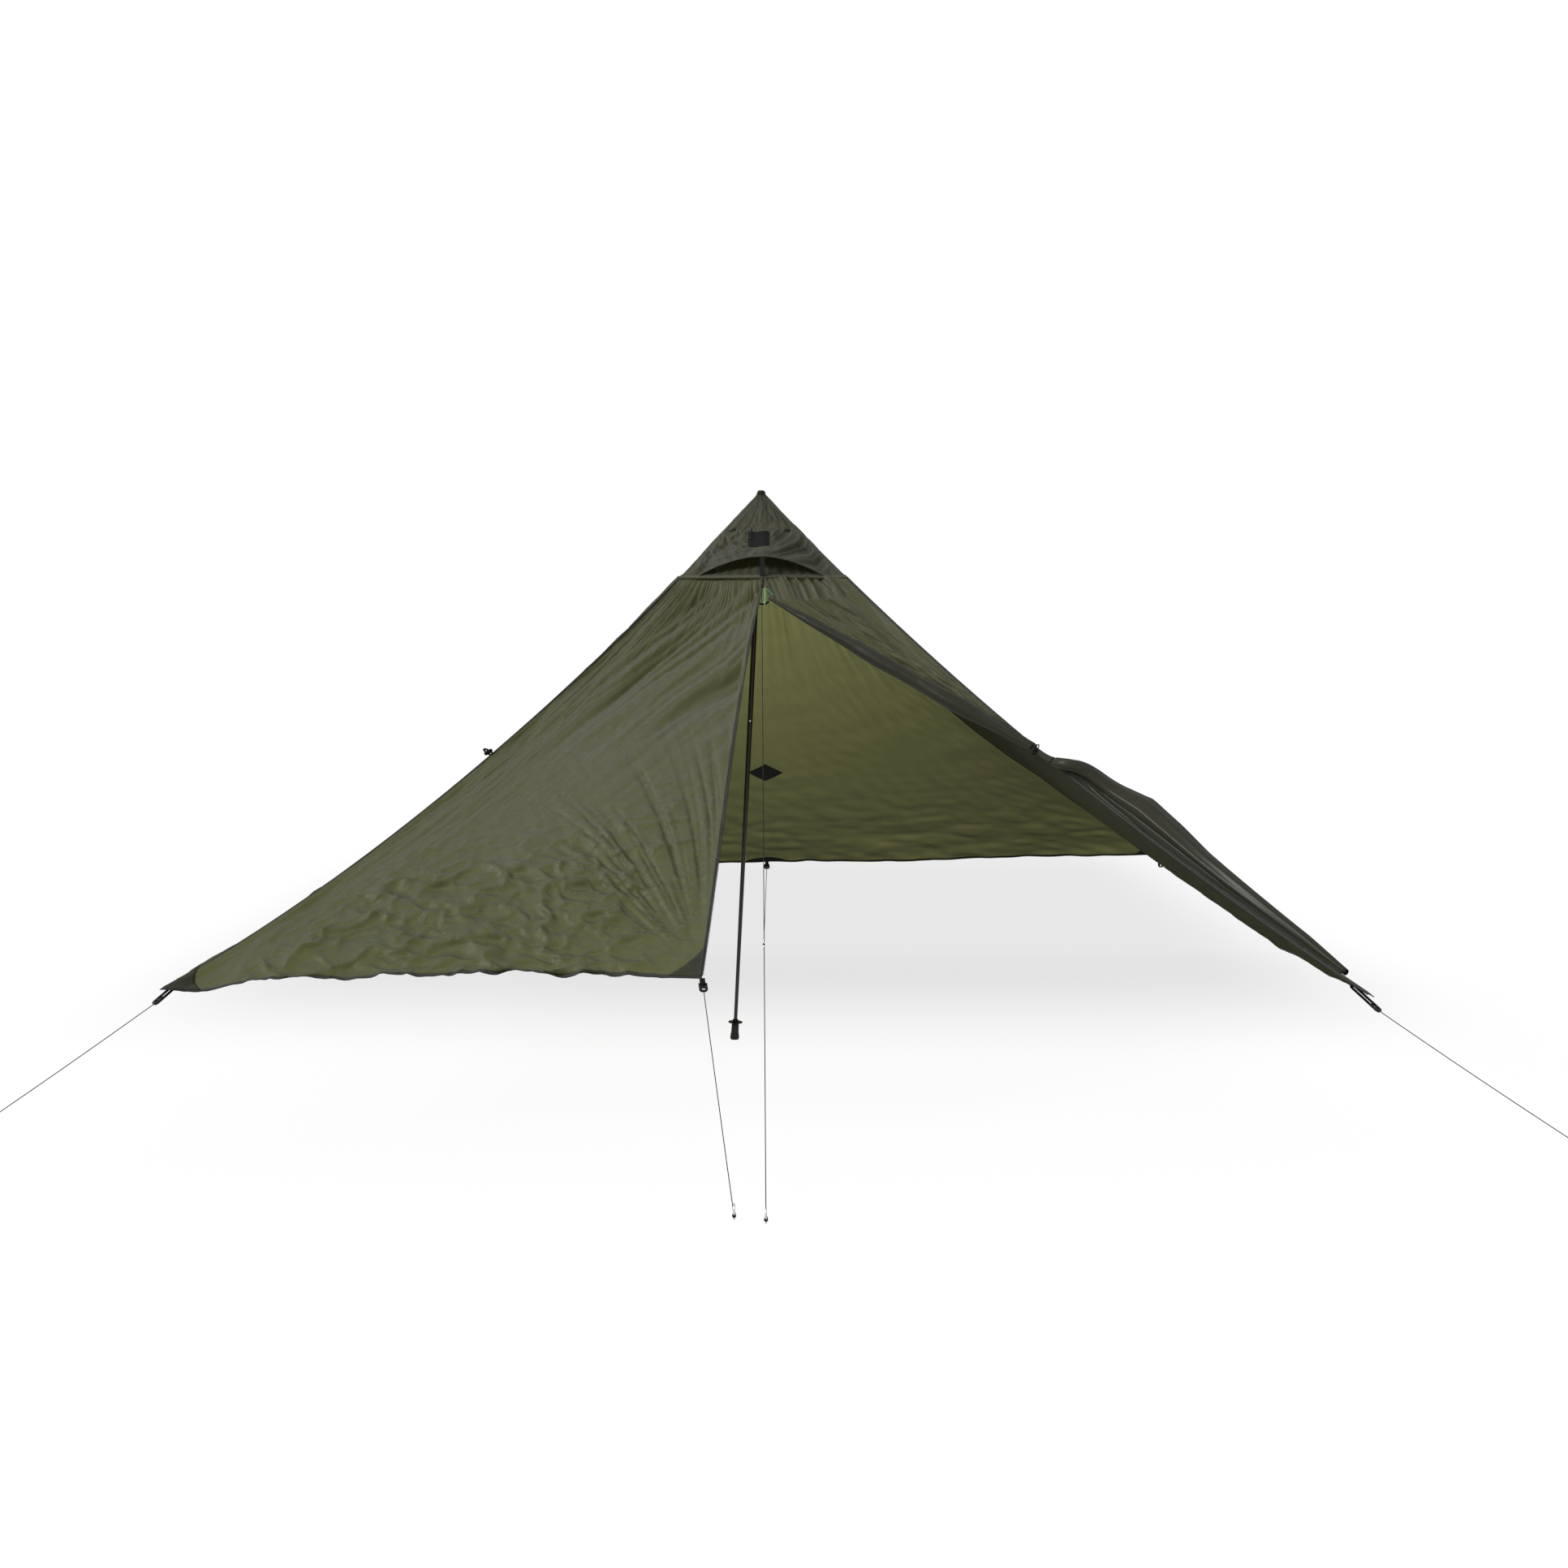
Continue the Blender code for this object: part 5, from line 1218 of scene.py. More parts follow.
def lining_points(columns, rows):
    """Lining of the vent, gathered in pleats along its top."""
    c, v = np.meshgrid(np.linspace(0.0, 1.0, columns + 1), np.linspace(0.0, 1.0, rows + 1))
    height = SEAM_HEIGHT + 0.001 + (LINING_TOP - SEAM_HEIGHT) * (1.0 - v)
    swing = 0.5 - 0.5 * np.cos(2.0 * math.pi * PLEAT_COUNT * (c + 0.006 * np.sin(c * 31.0)))
    fold = 0.0090 * swing * (1.0 - 0.70 * v)
    still = np.zeros_like(c)
    base = front_base(LINING_START + LINING_SPAN * c, height)
    return base + np.stack([still, 0.0015 + fold, still], axis=-1)


# Lines

def basis(x_axis, z_hint):
    x = unit(x_axis)
    y = unit(np.cross(z_hint, x))
    return x, y, np.cross(x, y)


def line_ends():
    """Each guy line: its start, its end, where it goes round its peg, and the way that its peg leans to.

    With them, each webbing loop: its anchor, its direction, the hint for its flat and its reach.
    """
    lines, held = {}, {}

    def tied(name, start, ground, inward):
        inward = unit((*inward, 0.0))
        shaft = np.array((*ground, 0.0)) - inward * (PEG_LEAN * TIE_HEIGHT) + UP * TIE_HEIGHT
        end = shaft - unit(shaft - start) * (PEG_R * 1.12 + GAP)
        lines[name] = (start, end, shaft, inward)

    reach_out = ADJUSTER_LENGTH - ADJUSTER_BAR / 2.0 + GAP
    for corner, side, drop in (("front_left", -1.0, LEFT_LOOP_DROP),
                               ("front_right", 1.0, RIGHT_LOOP_DROP)):
        anchor = ridge(corner, 1.0 - CORNER_LOOP_INSET / BASE_HALF) - UP * drop
        end = RIDGES[corner][0] + (side * CORNER_LINE_OUT, -CORNER_LINE_OUT, -CORNER_LINE_DROP)
        tied(corner, end, (side * CORNER_PEG, -CORNER_PEG), (-side, 1.0))
        held[corner] = (anchor, unit(end - anchor), UP, distance(anchor, end) - reach_out)
    for corner, side in (("back_left", -1.0), ("back_right", 1.0)):
        anchor = RIDGES[corner][0] - UP * (TAPE_R + GAP)
        held[corner] = (anchor, -UP, np.array((side, 1.0, 0.0)), WEBBING_REACH)
    hems = (("door", door_surface(1.0, 1.0), DOOR_PEG, (0.0, 1.0)),
            ("back", wall_surface("back")(1.0, 0.5), BACK_PEG, (0.0, -1.0)))
    for name, foot, ground, inward in hems:
        direction = unit((*ground, TIE_HEIGHT) - foot)
        anchor = foot + direction * (TAPE_R * 0.95 + GAP)
        held[name] = (anchor, direction, UP, WEBBING_REACH)
        tied(name, anchor + direction * (WEBBING_REACH + reach_out), ground, inward)
    at = zip_line(PEAK_LINE_S)
    out = unit(np.cross(at - zip_line(PEAK_LINE_S - 0.002), RIGHTWARD))
    tied("peak", at + out * (TAPE_R * 0.95 + GAP + CORD_R), PEAK_PEG, (0.0, 1.0))
    return lines, held


def placed(point):
    return tuple(float(c) for c in point + RIGHTWARD * CENTRE_X)


def make_line(name, start, end):
    """Taut guy line, sagging slightly between its ends."""
    run = np.linspace(0.0, 1.0, 25)[:, None]
    points = mix(start, end, run) - UP * (LINE_SAG * 4.0 * run * (1.0 - run))
    piece = add_piece("line_" + name, tube_mesh("line_" + name, points, CORD_R, 12), "guy_cord",
                      ["guy_" + name], body=None)
    placed(start)
    placed(end)
    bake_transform(piece)
    placed(start)
    length_of(points)
    [placed(p) for p in points]
    node_object("peg_" + name)


def make_hitch(name, end, shaft, inward):
    """Turns of the line round its peg, with the knot that holds them."""
    down = unit(inward * PEG_LEAN - UP)
    side = unit(np.cross(down, inward))
    over = np.cross(side, down)
    share = np.linspace(0.0, 1.0, 61)
    rings = turned(side, over, 2.0 * math.pi * 2.5 * share) * (PEG_R + CORD_R * 1.1)
    turns = shaft + rings + down * (0.0052 * (share - 0.5))[:, None]
    angle = np.linspace(0.0, 2.0 * math.pi, 41)
    swing = np.stack([0.0026 * np.sin(2.0 * angle), 0.0022 * np.sin(3.0 * angle),
                      0.0030 * np.cos(angle)], axis=-1)
    knot = end + swing @ np.array((side, over, UP))
    mesh = joined("hitch_" + name, [tube_mesh("turns", turns, CORD_R, 8),
                                    tube_mesh("knot", knot, CORD_R * 1.1, 8)])
    add_piece("hitch_" + name, mesh, "guy_cord", body=PEG_BODIES[name])


def make_webbing_loop(name, anchor, direction, hint, reach):
    """Folded webbing loop that holds a line adjuster."""
    x, y, z = basis(direction, unit(np.cross(hint, direction)))
    inner = math.hypot(ADJUSTER_BAR, ADJUSTER_THICK) / 2.0 + LOOP_CLEARANCE
    start = inner + 0.001
    angle = np.radians(-90.0 + 15.0 * np.arange(13))
    bend = np.stack([np.cos(angle), np.sin(angle)], axis=-1) * (inner + WEBBING_THICK / 2.0)
    path = np.concatenate([bend + (reach, 0.0), (start, 0.0) - bend])
    middle = anchor + x * path[:, :1] + y * path[:, 1:]
    centre = np.where(path[:, :1] > (reach + start) / 2.0, anchor + x * reach, anchor + x * start)
    rings = ribbon(middle, np.broadcast_to(z, middle.shape), unit(middle - centre),
                   WEBBING_WIDTH, WEBBING_THICK)
    mesh = ribbon_mesh("webbing_" + name, rings, closed=True)
    add_piece("webbing_" + name, mesh, "webbing", ["webbing_loop_" + name])


# Operators

class TarpSizes(bpy.types.PropertyGroup):
    """Sizes of the cloth and its trim."""
    cloth: FloatProperty(name="Cloth", description="Thickness of the walls' cloth",
                         default=0.0004, min=0.0001, max=0.002, unit="LENGTH")
    rolled_cloth: FloatProperty(name="Rolled cloth", description="Thickness of the rolled door's cloth",
                                default=0.00015, min=0.00005, max=0.001, unit="LENGTH")
    hem_tape: FloatProperty(name="Hem tape", description="Width of the tape that binds the hem",
                            default=0.011, min=0.004, max=0.03, unit="LENGTH")
    ridge_tape: FloatProperty(name="Ridge tape", description="Width of each ridge seam",
                              default=0.010, min=0.004, max=0.03, unit="LENGTH")


class TarpColours(bpy.types.PropertyGroup):
    """Colours of the finishes, as linear values."""
    olive: FloatVectorProperty(name="Olive", description="Cloth of the walls and doors",
                               subtype="COLOR", default=(0.0480, 0.0490, 0.0325), min=0.0, max=1.0)
    glow: FloatVectorProperty(name="Glow", description="Light that comes through the cloth",
                              subtype="COLOR", default=(0.740, 0.750, 0.470), min=0.0, max=1.0)
    rolled: FloatVectorProperty(name="Rolled cloth", description="Cloth where it lies in many layers",
                                subtype="COLOR", default=(0.030, 0.030, 0.022), min=0.0, max=1.0)
    trim: FloatVectorProperty(name="Trim", description="Binding tape and corner patches",
                              subtype="COLOR", default=(0.042, 0.042, 0.038), min=0.0, max=1.0)
    webbing: FloatVectorProperty(name="Webbing", description="Webbing, straps and plastic",
                                 subtype="COLOR", default=(0.010, 0.010, 0.010), min=0.0, max=1.0)
    cord: FloatVectorProperty(name="Cord", description="Guy lines", subtype="COLOR",
                              default=(0.014, 0.014, 0.013), min=0.0, max=1.0)
    pull: FloatVectorProperty(name="Pull", description="Reflective cord of the zip pull",
                              subtype="COLOR", default=(0.160, 0.560, 0.340), min=0.0, max=1.0)


class TarpStage(bpy.types.PropertyGroup):
    """Floor and light."""
    sky: FloatProperty(name="Sky", description="Strength of the even light from all round",
                       default=0.42, min=0.0, max=4.0)
    key: FloatProperty(name="Key", description="Strength of the soft sun over the front left",
                       default=3.20, min=0.0, max=20.0)
    floor_side: FloatProperty(name="Floor", description="Side of the floor",
                              default=60.0, min=10.0, max=200.0, unit="LENGTH")
    shade: FloatProperty(name="Shade", description="How much of the floor's shade shows",
                         default=0.05, min=0.0, max=1.0, subtype="FACTOR")


class TARP_OT_camera(bpy.types.Operator):
    """Set the camera where the photograph was taken from"""
    bl_idname = "tarp.camera"
    bl_label = "Camera"

    def execute(self, context):
        data = bpy.data.cameras.new("view")
        camera = bpy.data.objects.new("view", data)
        context.scene.collection.objects.link(camera)
        camera.location = CAMERA_PLACE
        camera.rotation_euler = (math.pi / 2.0, 0.0, 0.0)
        data.sensor_width = SENSOR
        data.lens = FOCAL_PIXELS / IMAGE_SIDE * SENSOR
        data.shift_x = (IMAGE_SIDE / 2.0 - AXIS_PIXEL[0]) / IMAGE_SIDE
        data.shift_y = (AXIS_PIXEL[1] - IMAGE_SIDE / 2.0) / IMAGE_SIDE
        data.clip_end = 200.0
        context.scene.camera = camera
        return {"FINISHED"}


class TARP_OT_lines(bpy.types.Operator):
    """Run the guy lines to their pegs, with hitches and webbing loops"""
    bl_idname = "tarp.lines"
    bl_label = "Guy lines"

    def execute(self, context):
        lines, held = line_ends()
        for name, (start, end, shaft, inward) in lines.items():
            make_line(name, start, end)
            make_hitch(name, end, shaft, inward)
            refinish("peg_" + name, "bright_metal")
        for name, loop in held.items():
            make_webbing_loop(name, *loop)
            refinish("adjuster_" + name, "moulded_plastic")
        return {"FINISHED"}


class TARP_OT_walls(bpy.types.Operator):
    """Hang the three walls and the shut door"""
    bl_idname = "tarp.walls"
    bl_label = "Walls and shut door"

    def execute(self, context):
        for name, node in (("left", "wall_left"), ("right", "wall_right"), ("back", "wall_back"),
                           ("front", "door_left")):
            hang_panel(name, node)
        return {"FINISHED"}


class TARP_OT_peak(bpy.types.Operator):
    """Set the peak's cap, its hood and pleated lining, and the bare patch on them"""
    bl_idname = "tarp.peak"
    bl_label = "Peak"

    def execute(self, context):
        cloth = context.scene.tarp_sizes.cloth
        self.make_cap(cloth)
        points = hood_points()
        hood = cloth_piece("hood_cloth", points, "plane", "peak_cloth",
                           ["vent_hood"], cloth)
        area = area_of(points)
        points = lining_points(PLEAT_COUNT * 16, 12)
        lining = cloth_piece("lining_cloth", points, "unrolled", "vent_cloth",
                             ["vent_lining"], cloth)
        area = area_of(points)
        self.make_brim()
        self.make_bare_patch()
        return {"FINISHED"}

    def make_cap(self, cloth):
        """Cap with its opening behind the hood, closed by one face at its top."""
        points = cap_points(36)
        rows, count = points.shape[:2]
        flat = points.reshape(-1, 3)
        faces = grid_faces(rows, count, wrap=True)
        faces = [face for face in faces if not in_vent(flat[face].mean(axis=0))]
        faces.append(list(range((rows - 1) * count, rows * count)))
        uv = bounded_uv(np.concatenate([points, points[:, :1]], axis=1), "unrolled")[:, :-1]
        mesh = grid_mesh("cap_cloth", points, uv, faces)
        self.drop_loose(mesh)
        cap = thicken(add_piece("cap_cloth", mesh, "peak_cloth", ["peak_cap"]), cloth)

    def drop_loose(self, mesh):
        """Takes out the points that no face uses, and turns all faces one way."""
        bm = bmesh.new()
        bm.from_mesh(mesh)
        for vertex in [v for v in bm.verts if not v.link_faces]:
            bm.verts.remove(vertex)
        bmesh.ops.recalc_face_normals(bm, faces=bm.faces)
        bm.to_mesh(mesh)
        bm.free()

    def make_brim(self):
        """Bound edge of the hood."""
        c = np.linspace(0.02, 0.98, 90)
        path = hood_point(c, 1.0)
        side = unit(path - hood_point(c, 0.93))
        face = unit(np.cross(np.gradient(path, axis=0), side))
        rings = ribbon(path - side * TAPE_R, side, face, BRIM_WIDTH, BRIM_THICK)
        add_piece("brim_binding", ribbon_mesh("brim_binding", rings), "vent_cloth")

    def make_bare_patch(self):
        """Plain woven patch sewn over the hood, left bare."""
        x, height = np.meshgrid(np.linspace(-0.0540, 0.0060, 17), np.linspace(1.4830, 1.4380, 13))
        left, middle, right = (front_base(side, height)[..., 0] for side in (0.0, 0.5, 1.0))
        c = np.where(x < middle, 0.5 * (x - left) / (middle - left),
                     0.5 + 0.5 * (x - middle) / (right - middle))
        top, low = hood_point(c, 0.0)[..., 2], hood_point(c, 1.0)[..., 2]
        v = (top - height) / (top - low)
        points = sampled(hood_points(), v * HOOD_ROWS, c * HOOD_COLUMNS)
        points = points + outward_normals(points, OUTWARD["front"]) * 0.0014
        patch = cloth_piece("bare_patch", points, "unrolled", "webbing", [], PATCH_CLOTH)
        patch.modifiers.new("soften", "SUBSURF").levels = 1
        size = (distance(points[0, 0], points[0, -1]), distance(points[0, 0], points[-1, 0]))
        min(area_of(points), size[0] * size[1])


class TARP_OT_open_door(bpy.types.Operator):
    """Roll the right door to its ridge, with the strap and the elastic that hold it"""
    bl_idname = "tarp.open_door"
    bl_label = "Open door"

    def execute(self, context):
        sizes = context.scene.tarp_sizes
        points = open_panel_points(110, 120)
        panel = cloth_piece("open_door_panel", points, "unrolled", "olive_ripstop",
                            ["door_right_panel"], sizes.cloth)
        area = area_of(points)
        points = roll_points(210, 130)
        roll = cloth_piece("open_door_roll", points, "unrolled", "olive_rolled",
                           ["door_right_roll"], sizes.rolled_cloth)
        area = area_of(points)
        points = flap_points(176, 130)
        root = flap_root_points(6, 120)
        mesh = joined("open_door_flap", [grid_mesh("bundle", points, bounded_uv(points, "unrolled")),
                                         grid_mesh("root", root, bounded_uv(root, "unrolled"))])
        flap = thicken(add_piece("open_door_flap", mesh, "olive_rolled",
                                 ["door_right_flap"]), sizes.rolled_cloth)
        area = area_of(points)
        self.make_elastic()
        self.make_left_tieback()
        self.make_strap()
        return {"FINISHED"}

    def make_elastic(self):
        """Elastic round the roll, at the toggle that holds it."""
        centre = tie_centre()
        along = unit(centre - ROLL_START)
        side = unit(np.cross(along, UP))
        outward = turned(side, np.cross(side, along), whole_turn(60))
        path = centre + outward * (PINCH_R + TIE_GAP + TIE_CORD_R)
        rings = path[:, None] + turned(outward[:, None], along, whole_turn(12)) * TIE_CORD_R
        add_piece("tie_elastic", ribbon_mesh("tie_elastic", rings, closed=True), "webbing",
                  ["tieback_loop"])

    def make_left_tieback(self):
        """Toggle and elastic loop that wait on the left ridge for the shut door."""
        at = ridge("front_left", TIE_S - 0.002) - unit((-0.60, -0.50, 0.62)) * 0.003
        out = unit((-0.82, -0.20, 0.54))
        over = unit(np.cross(out, FORWARD))
        loop = at + out * 0.0130 + turned(out * -0.0135, over * 0.0040, whole_turn(48))
        rings = ring_path(loop, 0.0026, 8)
        along = np.linspace(-1.0, 1.0, 15)[:, None]
        bar = at + out * 0.0130 + unit(out * 0.50 - over) * (0.0120 * along)
        narrowed = np.sqrt(np.maximum(0.05, 1.0 - np.abs(along) ** 6))[:, None]
        rod = bar[:, None] + (ring_path(bar, 0.0052, 12) - bar[:, None]) * narrowed
        mesh = joined("left_tieback", [ribbon_mesh("loop", rings, closed=True), ribbon_mesh("bar", rod)])
        add_piece("left_tieback", mesh, "webbing")

    def make_strap(self):
        """Strap across the top of the doorway."""
        left = zip_line(STRAP_S) + (0.0030, STRAP_BACK, 0.0)
        right = ROLL_START + (-0.0010, -0.0011, -0.0085)
        u = np.linspace(0.0, 1.0, 25)[:, None]
        path = mix(left, right, u) + (0.0, STRAP_BACK, -STRAP_SAG) * (4.0 * u * (1.0 - u))
        along = unit(np.gradient(path, axis=0))
        side = unit(np.cross(along, FORWARD))
        rings = ribbon(path, side, np.cross(along, side), STRAP_WIDTH, STRAP_THICK)
        add_piece("doorway_strap", ribbon_mesh("doorway_strap", rings), "webbing",
                  ["peak_strap"])


class TARP_OT_trim(bpy.types.Operator):
    """Sew the seams, bindings, zip and patches on the cloth"""
    bl_idname = "tarp.trim"
    bl_label = "Seams and patches"

    def execute(self, context):
        self.make_ridge_seams(context.scene.tarp_sizes.ridge_tape)
        self.make_hem(context.scene.tarp_sizes.hem_tape)
        self.make_zip()
        self.make_cap_seam()
        self.make_patches()
        self.make_diamond()
        for wall, s in TAB_PLACES.items():
            self.make_tab(wall, s)
        return {"FINISHED"}

    def make_ridge_seams(self, width):
        """Felled seams: a narrow band folded over each ridge."""
        sides = {"front_left": ("front", 0.0, "left", 0.0), "back_left": ("left", 1.0, "back", 0.0),
                 "back_right": ("back", 1.0, "right", 0.0), "front_right": ("right", 1.0, None, 0.0)}
        inset = 0.03
        v = np.linspace(0.0, 0.992, 160)
        ripple = (grain(v * 60.0, 0.0, 91.0) * 0.24)[:, None]
        for corner, (first, first_edge, second, second_edge) in sides.items():
            path = ridge(corner, mix(seam_share(lambda s: ridge(corner, s)), 1.0, v))
            a = unit(panel_of(first).at(v, abs(first_edge - inset)) - path)
            if second:
                b = unit(panel_of(second).at(v, abs(second_edge - inset)) - path)
            else:
                b = np.broadcast_to(unit((-0.35, -0.30, -0.85)), path.shape)
            lift = unit(-(a + b)) * SEAM_RISE
            a, b = a * (width / 2.0), b * (width / 2.0)
            outline = np.stack([path + a + lift * 0.5, path + a * 0.5 + lift,
                                path + lift * (2.0 + ripple), path + b * 0.5 + lift,
                                path + b + lift * 0.5, path + b - lift * 0.3,
                                path - lift * 0.6, path + a - lift * 0.3], axis=1)
            mesh = ribbon_mesh("ridge_seam_" + corner, outline)
            add_piece("ridge_seam_" + corner, mesh, "trim_tape",
                      ["ridge_tape_" + corner])

    def make_hem(self, width):
        """Tape folded over the hem, from the shut door's foot round to the front right corner."""
        path, up, face = [], [], []
        for wall, u in (("front", np.linspace(1.0, 0.0, 120)), ("left", np.linspace(0.0, 1.0, 150)),
                        ("back", np.linspace(0.0, 1.0, 150)), ("right", np.linspace(0.0, 1.0, 150))):
            panel = panel_of(wall)
            skip = 1 if path else 0
            low = panel.at(1.0, u)
            path += list(low[skip:])
            up += list(unit(panel.at(0.985, u) - low)[skip:])
            face += list(panel.outward_at(1.0, u)[skip:])
        path, up, face = np.array(path), np.array(up), np.array(face)
        rings = ribbon(path + up * (width / 2.0 - TAPE_R), up, face, width, HEM_THICK)
        add_piece("hem_tape", ribbon_mesh("hem_tape", rings), "trim_tape",
                  ["hem_binding"])

    def make_zip(self):
        """Zip tape along the shut door's edge, with its coil."""
        panel = panel_of("front")
        v = np.linspace(0.0, 0.995, 220)
        path = panel.at(v, 1.0)
        side = unit(path - panel.at(v, 0.975))
        face = panel.outward_at(v, 1.0)
        tape = ribbon(path - side * 0.0030 + face * 0.0010, side, face, ZIP_TAPE_WIDTH, ZIP_TAPE_THICK)
        cover = ribbon(path - side * 0.0052 + face * 0.0020, side, face, ZIP_COVER_WIDTH, ZIP_TAPE_THICK)
        add_piece("zip_edge", joined("zip_edge", [ribbon_mesh("a", tape), ribbon_mesh("b", cover)]),
                  "trim_tape", ["zip_tape"])
        teeth = np.linspace(0.0, 0.995, int(length_of(path) / COIL_PITCH) * 8)
        centre = panel.at(teeth, 1.0)
        edge = unit(centre - panel.at(teeth, 0.975))
        out = panel.outward_at(teeth, 1.0)
        turn = np.arange(len(teeth)) * (2.0 * math.pi / 8.0)
        coil = centre + edge * 0.0016 + out * 0.0004 + turned(edge * 0.0013, out * 0.0009, turn)
        add_piece("zip_coil", tube_mesh("zip_coil", coil, COIL_R, 5), "moulded_plastic")

    def make_cap_seam(self):
        """Stitched band where the walls meet the cap, all the way round."""
        low = cap_ring(SEAM_HEIGHT - CAP_SEAM_WIDTH / 2.0, 60)
        high = cap_ring(SEAM_HEIGHT + CAP_SEAM_WIDTH / 2.0, 60)
        path = (low + high) / 2.0
        side = unit(high - low)
        face = unit(path - (PEAK_SHIFT, 0.0, SEAM_HEIGHT - 0.15))
        face = unit(face - side * (face * side).sum(axis=-1, keepdims=True))
        pucker = grain(np.arange(len(path)) * 0.45, 0.0, 95.0, 2) * 0.0010
        path = path + face * (SEAM_RISE + pucker)[:, None]
        rings = ribbon(path, side, face, CAP_SEAM_WIDTH, CAP_SEAM_THICK)
        mesh = ribbon_mesh("cap_seam", rings, closed=True)
        add_piece("cap_seam", mesh, "sewn_seam")

    def patch_points(self, panel, edge_u, hem, edge):
        """Triangle of doubled cloth between the hem and the panel's edge at edge_u."""
        b, depth = np.meshgrid(np.linspace(0.0, 1.0, 15), np.linspace(0.03, 1.0, 11))
        round_off = 1.0 - 0.5 * b * (1.0 - b)
        v = 0.998 - edge / panel.length * depth * (1.0 - b) * round_off
        u = abs(edge_u - 0.002 - hem / panel.width * depth * b * round_off)
        return panel.at(v, u, PATCH_LIFT)

    def make_patches(self):
        """Patches of the four corners, the shut door's foot and the back hem's middle."""
        wings = {"front_left": (("front", 0.0), ("left", 0.0)), "back_left": (("left", 1.0), ("back", 0.0)),
                 "back_right": (("back", 1.0), ("right", 0.0)), "front_right": (("right", 1.0),)}
        for corner, walls in wings.items():
            meshes, area = [], 0.0
            for wall, edge_u in walls:
                points = self.patch_points(panel_of(wall), edge_u, PATCH_HEM, PATCH_RIDGE)
                area += area_of(points)
                meshes.append(grid_mesh("wing", points, bounded_uv(points, "plane")))
            mesh = joined("corner_cloth_" + corner, meshes)
            piece = thicken(add_piece("corner_cloth_" + corner, mesh, "patch_cloth",
                                      ["corner_patch_" + corner]), PATCH_CLOTH)
        points = self.patch_points(panel_of("front"), 1.0, DOOR_PATCH_HEM, DOOR_PATCH_EDGE)
        piece = cloth_piece("door_foot_cloth", points, "plane", "patch_cloth",
                            ["door_patch"], PATCH_CLOTH)
        area_of(points)
        back = panel_of("back")
        c, r = np.meshgrid(np.linspace(-1.0, 1.0, 25), np.linspace(0.0, 1.0, 8))
        rise = 0.0035 + MID_PATCH_RISE * (1.02 - c * c) * r
        across = c * MID_PATCH_HALF / (2.0 * BASE_HALF)
        points = back.at(1.0 - rise / back.length, 0.5 + across, -PATCH_LIFT)
        piece = cloth_piece("back_foot_cloth", points, "plane", "patch_cloth",
                            ["back_mid_patch"], PATCH_CLOTH)
        area_of(points)

    def tab_v(self, wall):
        """Share down the dressed wall at which its pull-out tab sits."""
        top = seam_share(lambda s: hanging(MIDDLES[wall], s))
        return (TAB_PLACES[wall] - top) / (1.0 - top)

    def make_diamond(self):
        """Diamond of doubled cloth behind the back wall's pull-out tab."""
        back = panel_of("back")
        a, b = np.meshgrid(np.linspace(-1.0, 1.0, 17), np.linspace(-1.0, 1.0, 17))
        across = (a + b) / 2.0 * DIAMOND_HALF_W / (2.0 * BASE_HALF * TAB_PLACES["back"])
        down = (b - a) / 2.0 * DIAMOND_HALF_H / back.length
        points = back.at(self.tab_v("back") + down, 0.5 + across, -PATCH_LIFT)
        piece = cloth_piece("diamond_cloth", points, "unrolled", "diamond_weave",
                            ["diamond_patch"], PATCH_CLOTH)
        side = distance(points[0, 0], points[0, -1])
        min(area_of(points), side * side)

    def make_tab(self, wall, s):
        """Folded webbing tab with an eye for a line."""
        surface = wall_surface(wall)
        panel, v = panel_of(wall), self.tab_v(wall)
        base = panel.at(v, 0.5)
        out = panel.outward_at(v, 0.5)
        x, y, z = basis(out, unit(surface(s + 0.01, 0.5) - surface(s, 0.5)))
        angle = whole_turn(40)
        way = np.stack([np.cos(angle), np.sin(angle)], axis=-1)
        back, aside = np.maximum(-way[:, 0], 1e-6), np.maximum(np.abs(way[:, 1]), 1e-6)
        reach = np.minimum(TAB_REACH / back, TAB_HALF / aside)
        outline = way * np.where(way[:, 0] >= 0.0, TAB_HALF, reach)[:, None] + (TAB_REACH, 0.0)
        eye = way * TAB_EYE_R + (TAB_REACH, 0.0)
        rings = []
        for share, rise in ((0.0, -0.6), (0.0, 0.6), (0.12, 1.0), (0.88, 1.0), (1.0, 0.6),
                            (1.0, -0.6), (0.88, -1.0), (0.12, -1.0)):
            ring = mix(outline, eye, share)
            rings.append(base + out * GAP + x * ring[:, :1] + y * ring[:, 1:] + z * (0.001 * rise))
        mesh = ribbon_mesh("tab_" + wall, np.stack(rings, axis=1), closed=True)
        add_piece("tab_" + wall, mesh, "webbing", ["pullout_tab_" + wall])


